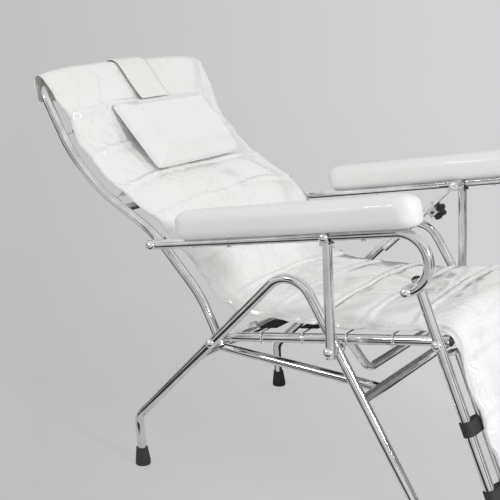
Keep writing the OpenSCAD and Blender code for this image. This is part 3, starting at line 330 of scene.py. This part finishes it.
vinyl = {
    "shine": {"Coat_Roughness": 0.07, "Specular_IOR_Level": 0.5},
    "warp": (14.0, 3.0),  # scale and detail of the noise that bends the creases
    "warpShare": 0.12,
    "patch": (5.5, 2.0),  # where the second tone lies
    "patchTone": [(0.46, 0.0), (0.66, 1.0)],
    "creases": [  # scale, stretch, twist, bump strength, bump metres
        (7.5, (1.0, 2.2, 1.0), 1.0, 0.50, 0.0022),
        (17.0, (1.8, 1.0, 1.4), 0.8, 0.34, 0.0011),
    ],
    "creaseDetail": 1.5,
    "creaseEdge": [(0.0, 1.0), (0.04, 0.4), (0.13, 0.0)],
    "creaseArea": [(0.42, 0.0), (0.58, 1.0)],  # creases come and go in areas
    "areaScale": 0.55,
    "areaDetail": 1.0,
    "foldStretch": (1.0, 3.0, 1.0),
    "fold": (12.0, 4.0, 0.5, 1.2),
    "foldBump": (0.34, 0.006),
    "fine": (420.0, 2.0),
    "fineBump": (0.06, 0.0002),
    "glossSpread": (0.75, 1.5),
}


def vinylMaterial(name, base, tint, rough, crinkle, coat):
    made, tree, shader = newMaterial(name, Coat_Weight=coat, **vinyl["shine"])
    where = placePoints(tree)
    warp = addNoise(tree, where, *vinyl["warp"]).outputs["Color"]
    wires = {"Fac": vinyl["warpShare"], "Color1": where, "Color2": warp}
    bent = addNode(tree, "ShaderNodeMixRGB", wires, blend_type="ADD").outputs[0]
    patch = addRamp(tree, addNoise(tree, where, *vinyl["patch"]).outputs["Fac"], vinyl["patchTone"])
    tree.links.new(mixColour(tree, patch, base, tint), shader.inputs["Base Color"])
    folds = addNoise(tree, placePoints(tree, vinyl["foldStretch"]), *vinyl["fold"]).outputs["Fac"]
    gloss = addRange(tree, folds, target=[rough * k for k in vinyl["glossSpread"]])
    tree.links.new(gloss, shader.inputs["Roughness"])
    strength, depth = vinyl["foldBump"]
    layers = [(folds, strength * crinkle, depth)]
    for scale, long, twist, strength, depth in vinyl["creases"]:
        wave = addNoise(tree, stretched(tree, bent, long), scale, vinyl["creaseDetail"], twist=twist)
        off = addMath(tree, "ABSOLUTE", addMath(tree, "SUBTRACT", wave.outputs["Fac"], 0.5))
        crease = addRamp(tree, off, vinyl["creaseEdge"])
        area = addNoise(tree, where, scale * vinyl["areaScale"], vinyl["areaDetail"]).outputs["Fac"]
        crease = addMath(tree, "MULTIPLY", crease, addRamp(tree, area, vinyl["creaseArea"]))
        layers.append((crease, strength * crinkle, depth))
    fine = addNoise(tree, where, *vinyl["fine"]).outputs["Fac"]
    bumpOn(tree, shader, layers + [(fine, *vinyl["fineBump"])])
    return made


black = {  # rubber and plastic
    "cloud": (60.0, 4.0),
    "dotDetail": 3.0,
    "glossSpread": (0.85, 1.2),
    "bump": 0.35,
}


def blackMaterial(name, base, light, rough, grain, depth):
    made, tree, shader = newMaterial(name)
    where = placePoints(tree)
    cloud = addNoise(tree, where, *black["cloud"]).outputs["Fac"]
    dots = addNoise(tree, where, grain, black["dotDetail"]).outputs["Fac"]
    tree.links.new(mixColour(tree, cloud, base, light), shader.inputs["Base Color"])
    gloss = addRange(tree, cloud, target=[rough * k for k in black["glossSpread"]])
    tree.links.new(gloss, shader.inputs["Roughness"])
    bumpOn(tree, shader, [(dots, black["bump"], depth)])
    return made


weave = {
    "pitch": 0.0016,  # metres from thread to thread
    "dark": (0.012, 0.012, 0.013),
    "light": (0.06, 0.06, 0.062),
    "uneven": 0.3,
    "rough": 0.82,
    "bump": (0.6, 0.0006),
}


def webbingMaterial(name, w):
    made, tree, shader = newMaterial(name, Roughness=w["rough"])
    wires = {"Vector": placePoints(tree), "Scale": 0.5 / w["pitch"], "Distortion": w["uneven"]}
    bands = [addNode(tree, "ShaderNodeTexWave", wires, bands_direction=way).outputs["Fac"] for way in "YX"]
    threads = addMath(tree, "MULTIPLY", *bands)
    tree.links.new(mixColour(tree, threads, w["dark"], w["light"]), shader.inputs["Base Color"])
    bumpOn(tree, shader, [(threads, *w["bump"])])
    return made


finishes = {
    "tubeSteel": {"rough": 0.075, "dark": (0.66, 0.665, 0.67), "light": (0.88, 0.885, 0.89)},
    "brightSteel": {"rough": 0.07, "dark": (0.88, 0.885, 0.89), "light": (0.9, 0.9, 0.905)},
    "quiltedVinyl": {
        "base": (0.86, 0.86, 0.86),
        "tint": (0.85, 0.845, 0.81),
        "rough": 0.24,
        "crinkle": 1.0,
        "coat": 0.9,
    },
    "smoothVinyl": {
        "base": (0.85, 0.85, 0.85),
        "tint": (0.83, 0.83, 0.815),
        "rough": 0.36,
        "crinkle": 0.12,
        "coat": 0.3,
    },
    "creamVinyl": {
        "base": (0.84, 0.835, 0.80),
        "tint": (0.80, 0.795, 0.74),
        "rough": 0.30,
        "crinkle": 0.5,
        "coat": 0.5,
    },
    "blackRubber": {
        "base": (0.014, 0.014, 0.015),
        "light": (0.04, 0.04, 0.04),
        "rough": 0.62,
        "grain": 420.0,
        "depth": 0.0004,
    },
    "blackPlastic": {
        "base": (0.008, 0.008, 0.009),
        "light": (0.02, 0.02, 0.021),
        "rough": 0.5,
        "grain": 700.0,
        "depth": 0.0002,
    },
}

tubeSteel, brightSteel = [steelMaterial(k, **finishes[k]) for k in ("tubeSteel", "brightSteel")]
vinylNames = ("quiltedVinyl", "smoothVinyl", "creamVinyl")
quiltedVinyl, smoothVinyl, creamVinyl = [vinylMaterial(k, **finishes[k]) for k in vinylNames]
webbing = webbingMaterial("blackWebbing", weave)
rubber, plastic = [blackMaterial(k, **finishes[k]) for k in ("blackRubber", "blackPlastic")]

dress = [  # part of a node's name, material; the first that fits is used
    ("foot_", rubber),
    ("clamps", rubber),
    ("plug", plastic),
    ("knob", plastic),
    ("straps", webbing),
    ("mat", webbing),
    ("bolt", brightSteel),
    ("screws", brightSteel),
    ("hooks", brightSteel),
    ("springs", brightSteel),
    ("strut_rod", brightSteel),
]
for name, node in nodes.items():
    if node.type == "MESH":
        chosen = next((m for part, m in dress if part in name), tubeSteel)
        node.data.materials.clear()
        node.data.materials.append(chosen)
print("frame dressed")


# Helpers that the soft pieces share
def unit(v):
    return v / np.linalg.norm(v)


def runAlong(points):
    return np.cumsum(np.r_[0, np.linalg.norm(np.diff(points, axis=0), axis=1)])


def smoothed(values, reach=4):
    count = 2 * reach + 1
    return np.convolve(np.pad(values, reach, mode="edge"), np.ones(count) / count, mode="valid")


def roundOver(near, width, power=2):
    return math.sqrt(max(0.0, 1 - (1 - min(1, near / width)) ** power))


def nodePoints(name):
    mesh = nodes[name].data
    out = np.zeros(len(mesh.vertices) * 3)
    mesh.vertices.foreach_get("co", out)
    return out.reshape(-1, 3)


def tubeFaces(rows, n):
    faces = []
    for i in range(rows - 1):
        for k in range(n):
            after = (k + 1) % n
            faces.append((i * n + k, i * n + after, (i + 1) * n + after, (i + 1) * n + k))
    return faces + [tuple(range(n - 1, -1, -1)), tuple((rows - 1) * n + k for k in range(n))]


def makePiece(name, verts, faces, material, flatFaces=0, levels=1):
    mesh = bpy.data.meshes.new(name)
    mesh.from_pydata([tuple(v) for v in verts], [], faces)
    mesh.polygons.foreach_set("use_smooth", [True] * (len(faces) - flatFaces) + [False] * flatFaces)
    mesh.materials.append(material)
    piece = addObject(name, mesh)
    if levels:
        smoother = piece.modifiers.new("smoother", "SUBSURF")
        smoother.levels = smoother.render_levels = levels
    return piece


cover = {  # the one quilted cushion, metres; spine points lie on its underside
    # x from the rear pivot's axis, z from the floor
    "legEnd": (0.6488, 0.0709),
    "legWay": (-0.405, 0.914),  # from there up the leg rest
    "knee": (0.477, 0.419),
    "settle": (0.286, 0.3984),
    "crease": (0.038, 0.3795),
    "bends": [0, 0.016, 0.2, 0],
    "creaseSeat": 0.055,  # where the bend between seat and back starts, on the seat
    "creaseBack": 0.105,  # and where it ends, up the back tube
    "back": [
        (0, 0.324901),
        (-0.042, 0.405),
        (-0.145, 0.527),
        (-0.297, 0.602),
        (-0.375, 0.672),
        (-0.459, 0.812),
    ],
    "backBends": [0, 0.3, 0.15, 0.3, 0.28, 0],
    "lift": 0.016,  # from the tubes' middle to the underside
    "rollTurn": 168,  # degrees round the top bar
    "flap": 0.042,
    "gap": 0.002,  # from point to point of the spine
    "creaseSteps": 60,
    "rollSteps": 40,
    "flapSteps": 20,
    "backSeams": [(-0.425, 0.725), (-0.347, 0.640), (-0.251, 0.587), (-0.171, 0.526)],
    "seatSeams": [(0.121, 0.388), (0.220, 0.394), (0.320, 0.403), (0.420, 0.424)],
    "pitch": 0.107,
    "leastShare": 0.3,  # a channel at the foot shorter than this share of the pitch is left out
}

quilt = {
    "seatHalf": 0.230,
    "backHalf": 0.256,
    "rollHalf": 0.274,
    "widens": (-0.05, 0.09),  # from seat to back width, round the waist seam
    "flareLength": 0.11,
    "flareEase": 1.3,
    "crown": 0.046,
    "flapThick": 0.024,
    "sectionPower": 3.0,
    "sunk": 0.77,       # height at a seam, as a share of the crown
    "swell": (2.6, 0.55),  # how flat a channel's middle is, how steep its seams
    "drawnIn": 0.007,   # how far a seam pulls the sides in
    "endRound": 0.018,
    "endLeast": 0.12,
    "calm": 0.05,       # the two ends are even over this length
    "wander": (0.012, 4, 9, 2.3),    # how far a seam strays, scales along and across, seed
    "unequal": (0.13, 11, 10, 8.1),  # how unevenly the padding fills
    "stepAlong": 0.0055,
    "leastSteps": 4,
    "across": 84,
    "under": 10,        # points across the underside
}

sheetFeel = {
    "solverScale": 10,  # the cloth solver suits sizes of metres
    "slack": (1.20, 1.15),  # along and across
    "ruffles": [(0.05, 2.6, 3.4, 1.7), (0.03, 7, 9, 4.2)],  # height, scales, seed
    "frames": 36,
    "cap": 0.011,       # no crease is deeper
    "cloth": {
        "quality": 5,
        "mass": 0.06,
        "air_damping": 2.0,
        "tension_stiffness": 14,
        "compression_stiffness": 14,
        "shear_stiffness": 4,
        "bending_stiffness": 0.03,
        "use_pressure": True,
        "uniform_pressure_force": 2.2,
    },
}


def fromPivot(c):
    for key in ("legEnd", "knee", "settle", "crease"):
        c[key] = (c[key][0] + pivotX, c[key][1])
    for key in ("back", "backSeams", "seatSeams"):
        c[key] = [(x + pivotX, z) for x, z in c[key]]


# A path of straight parts and arcs: x, z and the angle at each point
def bendPath(corners, radii, gap):
    corners = [np.array(p, float) for p in corners]
    points, here, last = [], corners[0], len(corners) - 1
    for i in range(1, last + 1):
        d = unit(corners[i] - corners[i - 1])
        a, turn, end = math.atan2(d[1], d[0]), 0, corners[i]
        if i < last and radii[i]:
            e = unit(corners[i + 1] - corners[i])
            turn = (math.atan2(e[1], e[0]) - a + math.pi) % (2 * math.pi) - math.pi
            trim = radii[i] * math.tan(abs(turn) / 2)
            end = corners[i] - d * trim
        count = max(1, int(np.linalg.norm(end - here) / gap))
        points += [(*(here + (end - here) * k / count), a) for k in range(count)]
        here = end
        if turn:
            side = math.copysign(radii[i], turn)
            centre = end + side * np.array([-d[1], d[0]])
            count = max(2, int(radii[i] * abs(turn) / gap))
            for k in range(count):
                t = a + turn * k / count
                points.append((*(centre + side * np.array([math.sin(t), -math.cos(t)])), t))
            here = corners[i] + e * trim
    points.append((*here, a))
    return np.array(points)


def lifted(path, by):
    out = path.copy()
    out[:, 0] += by * np.sin(path[:, 2])
    out[:, 1] -= by * np.cos(path[:, 2])
    return out


def crossing(a, aWay, b, bWay):
    t = np.linalg.solve(np.column_stack([aWay, -bWay]), b - a)
    return a + aWay * t[0]


def nearest(path, point):
    return np.argmin(np.hypot(path[:, 0] - point[0], path[:, 1] - point[1]))


# From the foot of the leg rest over the seat, up the back, round the top bar and down the flap
def coverSpine(c):
    knee, legEnd = np.array(c["knee"]), np.array(c["legEnd"])
    seatWay = unit(np.array(c["back"][0]) - knee)
    over = knee + c["lift"] * np.array([seatWay[1], -seatWay[0]])
    corner = crossing(legEnd, unit(np.array(c["legWay"])), over, seatWay)
    front = bendPath([legEnd, corner, c["settle"], c["crease"]], c["bends"], c["gap"])
    back = lifted(bendPath(c["back"], c["backBends"], c["gap"]), c["lift"])
    way = unit(front[-1, :2] - front[-5, :2])
    foot = front[-1, :2] - way * c["creaseSeat"]
    front = front[front[:, 0] > foot[0]]
    first = int(np.searchsorted(runAlong(back[:, :2]), c["creaseBack"]))
    far, angle = back[first, :2], back[first, 2]
    mid = crossing(foot, way, far, np.array([math.cos(angle), math.sin(angle)]))
    bend = []
    for u in np.linspace(0, 1, c["creaseSteps"])[:-1]:
        p = foot * (1 - u) ** 2 + 2 * u * (1 - u) * mid + far * u * u
        v = 2 * (1 - u) * (mid - foot) + 2 * u * (far - mid)
        bend.append((*p, math.atan2(v[1], v[0])))
    top, start = np.array(c["back"][-1]), back[-1, 2]
    roll = []
    for t in np.linspace(0, math.radians(c["rollTurn"]), c["rollSteps"])[1:]:
        out = np.array([math.sin(start + t), -math.cos(start + t)])
        roll.append((*(top + c["lift"] * out), start + t))
    x, z, a = roll[-1]
    hang = np.linspace(c["gap"], c["flap"], c["flapSteps"])
    flap = [(x + math.cos(a) * k, z + math.sin(a) * k, a) for k in hang]
    path = np.vstack([front, bend, back[first:], roll, flap])
    path[:, 2] = np.unwrap(path[:, 2])
    gaps = np.linalg.norm(np.diff(path[:, :2], axis=0), axis=1)
    path = path[np.r_[True, gaps > 1e-5]]
    run = runAlong(path[:, :2])
    return path, run, run[nearest(path, back[-1])]


def coverSeams(c, path, run):
    back = sorted(run[nearest(path, p)] for p in c["backSeams"])
    seat = sorted(run[nearest(path, p)] for p in c["seatSeams"])
    gap = back[0] - seat[-1]
    count = max(1, round(gap / c["pitch"]))
    between = [seat[-1] + gap * k / count for k in range(1, count)]
    front, s = [], seat[0] - c["pitch"]
    while s > c["pitch"] * c["leastShare"]:
        front.append(s)
        s -= c["pitch"]
    return np.array([0] + sorted(front) + seat + between + back + [run[-1]])


def sectionPoints(half, height, count, power, fine=360):
    t = np.linspace(0, math.pi, fine + 1)
    y = -half * np.sign(np.cos(t)) * np.abs(np.cos(t)) ** (2 / power)
    h = height * np.abs(np.sin(t)) ** (2 / power)
    run = np.cumsum(np.r_[0, np.hypot(np.diff(y), np.diff(h))])
    at = np.linspace(0, run[-1], count + 1)
    return np.interp(at, run, y), np.interp(at, run, h)


def uneven(setting, s, y):
    share, along, across, seed = setting
    return share, noise.noise(Vector((s * along, y * across, seed)))


# The quilt laid flat: run along the spine, place across and height, for each point of its top
def quiltShape(q, total, seams, rollStart):
    steps = []
    for a, b in zip(seams[:-1], seams[1:]):
        n = max(q["leastSteps"], round((b - a) / q["stepAlong"]))
        steps += [(a + (b - a) * k / n, k / n, k == 0) for k in range(n)]
    steps.append((total, 1.0, True))
    grid = np.zeros((len(steps), q["across"] + 1, 3))
    lastSeam, waist = seams[-2], seams[-6]
    widens = [waist + by for by in q["widens"]]
    flatness, steepness = q["swell"]
    for i, (s, u, _) in enumerate(steps):
        swell = max(0.0, 1 - abs(2 * u - 1) ** flatness) ** steepness
        fade = np.interp(s, [lastSeam, rollStart, total], [1, 0, 0])
        crown = q["flapThick"] + (q["crown"] - q["flapThick"]) * fade
        if s > lastSeam and u > 0.5:
            swell = 1.0
        low = q["sunk"] * crown
        end = min(s, total - s)
        height = (low + (crown - low) * swell) * max(q["endLeast"], roundOver(end, q["endRound"]))
        flare = min(1.0, max(0.0, 1 - (rollStart - s) / q["flareLength"])) ** q["flareEase"]
        body = np.interp(s, widens, [q["seatHalf"], q["backHalf"]])
        half = body + (q["rollHalf"] - body) * flare - q["drawnIn"] * (1 - swell)
        y, h = sectionPoints(half, height, q["across"], q["sectionPower"])
        calm = min(1.0, end / q["calm"])
        for k in range(q["across"] + 1):
            far, drift = uneven(q["wander"], s, y[k])
            much, puff = uneven(q["unequal"], s, y[k])
            grid[i, k] = s + far * calm * drift, y[k], h[k] * (1 + much * calm * puff)
    return grid, np.array([seam for _, _, seam in steps])


def gridFaces(rows, columns):
    faces = []
    for i in range(rows - 1):
        for j in range(columns - 1):
            a, b = i * columns + j, (i + 1) * columns + j
            faces.append((a, a + 1, b + 1, b))
    return faces


# Lets the flat quilt's slack cover wrinkle between its seams
def crumpleSheet(f, grid, seamRow):
    rows, columns, _ = grid.shape
    big = grid.reshape(-1, 3) * f["solverScale"]
    along, across = f["slack"]
    rest = big * np.array([along, across, across])
    start = big.copy()
    for p in start:
        places = [(high, Vector((p[0] * a, p[1] * b, seed))) for high, a, b, seed in f["ruffles"]]
        p[2] += sum(high * noise.noise(place) for high, place in places)
    held = np.zeros((rows, columns), bool)
    held[seamRow] = True
    held[:, 0] = held[:, -1] = True
    heldList = np.flatnonzero(held.ravel())
    start[heldList] = big[heldList]
    mesh = bpy.data.meshes.new("slackSheet")
    mesh.from_pydata(start.tolist(), [], gridFaces(rows, columns))
    sheet = addObject("slackSheet", mesh)
    sheet.shape_key_add(name="Basis")
    key = sheet.shape_key_add(name="slack")
    key.data.foreach_set("co", rest.astype(np.float32).ravel())
    group = sheet.vertex_groups.new(name="held")
    group.add(heldList.tolist(), 1.0, "REPLACE")
    cloth = sheet.modifiers.new("cloth", "CLOTH")
    for name, value in f["cloth"].items():
        setattr(cloth.settings, name, value)
    cloth.settings.vertex_group_mass = "held"
    cloth.settings.rest_shape_key = key
    cloth.settings.effector_weights.gravity = 0
    cloth.point_cache.frame_start, cloth.point_cache.frame_end = 1, f["frames"]
    for step in range(1, f["frames"] + 1):
        bpy.context.scene.frame_set(step)
    done = sheet.evaluated_get(bpy.context.evaluated_depsgraph_get()).to_mesh()
    out = np.zeros(len(done.vertices) * 3)
    done.vertices.foreach_get("co", out)
    bpy.context.scene.frame_set(1)
    bpy.data.objects.remove(sheet)
    moved = out.reshape(rows, columns, 3) / f["solverScale"] - grid
    size = np.linalg.norm(moved, axis=2, keepdims=True)
    most, mean = float(size.max()) * 1000, float(size.mean()) * 1000
    print("sheet moved", round(most, 1), "mm at most,", round(mean, 2), "mm on average")
    return grid + moved * np.minimum(1, f["cap"] / np.maximum(size, 1e-9))


def wrapOn(path, run, s, y, h):
    x = np.interp(s, run, path[:, 0])
    z = np.interp(s, run, path[:, 1])
    a = np.interp(s, run, path[:, 2])
    return np.stack([x + h * np.sin(a), y, z - h * np.cos(a)], axis=-1)


def closedCover(name, path, run, top, under, material):
    rings = []
    for row in top:
        s, half = row[0, 0], row[-1, 1]
        y = np.linspace(half, -half, under + 2)[1:-1]
        rings.append(wrapOn(path, run, row[:, 0], row[:, 1], row[:, 2]))
        rings.append(wrapOn(path, run, np.full(under, s), y, np.zeros(under)))
    faces = tubeFaces(len(top), top.shape[1] + under)
    return makePiece(name, np.vstack(rings), faces, material, flatFaces=2)


fromPivot(cover)
path, run, rollStart = coverSpine(cover)
seams = coverSeams(cover, path, run)
grid, seamRow = quiltShape(quilt, run[-1], seams, rollStart)
print("cover spine", round(run[-1], 3), "m,", len(seams), "seams,", grid.shape[0], "rows")
top = crumpleSheet(sheetFeel, grid, seamRow)
split = run[nearest(path, cover["seatSeams"][1])]
cut = int(np.argmin(np.abs(grid[:, 0, 0] - split)))
lowerCover = closedCover("seat_and_leg_cushion", path, run, top[: cut + 1], quilt["under"], quiltedVinyl)
upperCover = closedCover("back_and_seat_cushion", path, run, top[cut:], quilt["under"], quiltedVinyl)
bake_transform(lowerCover)
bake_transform(upperCover)
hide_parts("seat_pad", "legrest_pad")
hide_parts("back_pad")
print("cover made")

pillow = {
    "tilt": 136,
    "half": (0.146, 0.092, 0.0180),  # half its width, height and thickness
    "sunk": (-0.0090, 0, -0.0030),   # how far it presses into the cushion
    "rim": 0.034,         # width of the sloping border
    "edge": (0.006, 0.48),    # how soon the outer edge rounds over, its share of the half thickness
    "slope": (1.47, 1.1),     # share of the half thickness that the border rises by, its ease
    "dish": 0.0015,       # how far the top lies below the border
    "puff": 0.002,
    "welt": (0.0020, 0.0035),  # height and width of the raised seam round the top
    "ripple": (0.0012, 30, 42, 3.1),  # height, scales, seed
    "under": (0.010, 0.003),   # how soon its underside rounds over, by how much
    "cornerPull": (0.03, 0.04),
    "cornerPower": 10,
    "lines": 76,
    "crowd": 0.8,         # draws the lines of its mesh towards the edges
}


def pillowHeight(p, x, y, near):
    halfWide, halfHigh, halfThick = p["half"]
    lipWidth, lipShare = p["edge"]
    slopeShare, slopeEase = p["slope"]
    weltHigh, weltWide = p["welt"]
    ripple, along, across, seed = p["ripple"]
    rise = min(1.0, near / p["rim"])
    h = halfThick * (lipShare * roundOver(near, lipWidth) + slopeShare * rise ** slopeEase)
    if near >= p["rim"]:
        middle = (1 - (x / (halfWide - p["rim"])) ** 2) * (1 - (y / (halfHigh - p["rim"])) ** 2)
        h += p["puff"] * middle - p["dish"]
    h = min(h, 2 * halfThick) + weltHigh * math.exp(-((near - p["rim"]) / weltWide) ** 2)
    return h + ripple * noise.noise(Vector((x * along, y * across, seed))) * rise


def makePillow(p):
    t = math.radians(p["tilt"])
    axes = np.array([(0, 1, 0), (math.cos(t), 0, math.sin(t)), (math.sin(t), 0, -math.cos(t))])
    points = nodePoints("headrest_pillow")
    centre = (points.min(axis=0) + points.max(axis=0)) / 2 + np.array(p["sunk"])
    half, n = p["half"], p["lines"]
    mid = axes @ centre
    shares = [math.copysign(abs(2 * i / n - 1) ** p["crowd"], 2 * i / n - 1) for i in range(n + 1)]
    upper, lower = [], []
    for a in shares:
        for b in shares:
            x, y = a * half[0], b * half[1]
            near = min(half[0] - abs(x), half[1] - abs(y))
            corner = (abs(a) * abs(b)) ** p["cornerPower"]
            x, y = x * (1 - p["cornerPull"][0] * corner), y * (1 - p["cornerPull"][1] * corner)
            lift = p["under"][1] * (1 - roundOver(near, p["under"][0]))
            upper.append((mid + np.array([x, y, pillowHeight(p, x, y, near) - half[2]])) @ axes)
            lower.append((mid + np.array([x, y, lift - half[2]])) @ axes)
    m = n + 1
    faces = []
    for i in range(n):
        for j in range(n):
            q = (i * m + j, (i + 1) * m + j, (i + 1) * m + j + 1, i * m + j + 1)
            faces += [q, tuple(m * m + k for k in reversed(q))]
    rim = [(i, 0) for i in range(n)] + [(n, j) for j in range(n)]
    rim += [(i, n) for i in range(n, 0, -1)] + [(0, j) for j in range(n, 0, -1)]
    ids = [i * m + j for i, j in rim]
    for a, b in zip(ids, ids[1:] + ids[:1]):
        faces.append((b, a, m * m + a, m * m + b))
    piece = makePiece("neck_pillow", upper + lower, faces, smoothVinyl)
    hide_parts("headrest_pillow")
    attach(piece, "headrest")
    return centre, axes


pillowCentre, pillowAxes = makePillow(pillow)
print("pillow made")

armPad = {
    "tilt": 11.06,
    "endRound": 0.036,
    "endPower": 2.6,
    "endLeast": 0.05,
    "tip": 0.06,          # below this share of its section the end closes evenly
    "underRound": 0.45,   # how much of the ends' rounding its underside takes
    "crown": 0.004,
    "skirt": 0.0025,      # the cover's lower edge stands below the pad's board
    "fall": 0.003,        # from the middle of the top to its sides
    "across": 40,
    "along": 96,
    "crowd": 0.45,        # draws the rings of its mesh towards the ends
    "power": 3.1,
    "dents": (0.0010, 11, 16),
    "puckers": (0.0012, 40, 60, 0.09),  # and how far in from the ends they reach
    "leftSeed": 5,
}


def padSection(p, half, grow, k):
    a = 2 * math.pi * k / p["across"]
    cy, cz = math.cos(a), math.sin(a)
    y = half[1] * math.copysign(abs(cy) ** (2 / p["power"]), cy) * grow
    z = half[2] * math.copysign(abs(cz) ** (2 / p["power"]), cz)
    if z > 0:
        return y, z * grow - p["fall"] * (y / half[1]) ** 2
    if grow > p["tip"]:
        return y, z * (1 - p["underRound"] + p["underRound"] * grow)
    return y, z * grow


def makeArmPad(side, p):
    t = math.radians(p["tilt"])
    axes = np.array([(math.cos(t), 0, math.sin(t)), (0, 1, 0), (-math.sin(t), 0, math.cos(t))])
    flat = nodePoints(f"armrest_pad_{side}") @ axes.T
    low, high = flat.min(axis=0), flat.max(axis=0)
    high[2] += p["crown"]
    low[2] -= p["skirt"]
    mid, half = (low + high) / 2, (high - low) / 2
    dent, dentX, dentY = p["dents"]
    pucker, puckX, puckY, reach = p["puckers"]
    seed = p["leftSeed"] if side == "left" else 0
    verts = []
    for i in range(p["along"] + 1):
        f = i / p["along"]
        x = half[0] * ((2 * f - 1) * (1 - p["crowd"]) - math.cos(math.pi * f) * p["crowd"])
        near = half[0] - abs(x)
        grow = max(roundOver(near, p["endRound"], p["endPower"]), p["endLeast"])
        ends = max(0.0, 1 - near / reach)
        for k in range(p["across"]):
            y, z = padSection(p, half, grow, k)
            soft = dent * noise.noise(Vector((x * dentX, y * dentY, z * dentY + seed)))
            soft += pucker * ends * noise.noise(Vector((x * puckX, y * puckY, z * puckY)))
            spot = mid + np.array([x, y * (1 + soft / half[1]), z + (soft if z > 0 else 0)])
            verts.append(spot @ axes)
    faces = [face[::-1] for face in tubeFaces(p["along"] + 1, p["across"])]
    piece = makePiece(f"arm_pad_{side}", verts, faces, smoothVinyl)
    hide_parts(f"armrest_pad_{side}")
    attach(piece, f"armrest_{side}")


for side in ("right", "left"):
    makeArmPad(side, armPad)
print("arm pads made")

strap = {
    "width": 0.096,
    "thick": 0.0016,
    "clear": 0.0012,
    "beside": 0.006,      # the cushion is followed this far past the strap's sides
    "startsPast": 0.016,  # where it meets the cushion, past the pillow
    "startsLow": 0.55,    # how low on the pillow's edge it starts
    "startsUp": ((0.0004, 0), (0.004, 0.0005)),  # its first two points, along and off the pillow
    "behind": -0.3,       # it lies on the cushion only behind this x
    "endsShort": 0.012,   # of the end of the flap
    "peakReach": 3,       # it rests on the highest of this many rows before and after
    "step": 0.003,
    "leastSteps": 8,
    "across": 28,
    "ripple": (0.0007, 60, 26, 7.7),
    "stitch": (0.88, 0.95, 0.0005),  # from and to, as shares of the half width, and depth
}


def strapLine(st, path, run, top):
    v, w = pillowAxes[1], pillowAxes[2]
    first = pillowCentre + v * pillow["half"][1] - w * pillow["half"][2] * st["startsLow"]
    inside = np.abs(top[0, :, 1]) < st["width"] / 2 + st["beside"]
    s = top[:, 0, 0]
    h = top[:, inside, 2].max(axis=1)
    r = st["peakReach"]
    h = np.array([h[max(0, i - r): i + r + 1].max() for i in range(len(h))])
    line = wrapOn(path, run, s, np.zeros(len(s)), smoothed(h) + st["clear"])
    along = (line - first) @ v
    begin = int(np.argmax((along > st["startsPast"]) & (line[:, 0] < st["behind"])))
    line = line[begin:]
    line = line[: len(line) - int(st["endsShort"] / quilt["stepAlong"])]
    line = np.vstack([first + v * up + w * off for up, off in st["startsUp"]] + [line])
    run = runAlong(line)
    at = np.linspace(0, run[-1], max(st["leastSteps"], int(run[-1] / st["step"])))
    line = np.stack([np.interp(at, run, line[:, k]) for k in range(3)], axis=1)
    soft = np.stack([smoothed(line[:, k]) for k in range(3)], axis=1)
    soft[:2], soft[-3:] = line[:2], line[-3:]
    return soft, at


def makeStrap(st, line, at):
    way = np.gradient(line, axis=0)
    way /= np.linalg.norm(way, axis=1, keepdims=True)
    out = np.stack([way[:, 2], np.zeros(len(way)), -way[:, 0]], axis=1)
    ripple, along, across, seed = st["ripple"]
    inner, outer, depth = st["stitch"]
    shares = [2 * j / st["across"] - 1 for j in range(st["across"] + 1)]
    verts = []
    for i in range(len(line)):
        for b, upper in [(b, True) for b in shares] + [(-b, False) for b in shares]:
            y = b * st["width"] / 2
            d = ripple * (noise.noise(Vector((at[i] * along, y * across, seed))) + 0.5)
            if upper:
                d += st["thick"] - (depth if inner < abs(b) < outer else 0)
            verts.append(line[i] + out[i] * d + np.array([0, y, 0]))
    faces = tubeFaces(len(line), 2 * len(shares))
    piece = makePiece("pillow_strap", verts, faces, creamVinyl, levels=0)
    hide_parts("headrest_strap")
    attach(piece, "headrest")


makeStrap(strap, *strapLine(strap, path, run, top))
print("strap made")
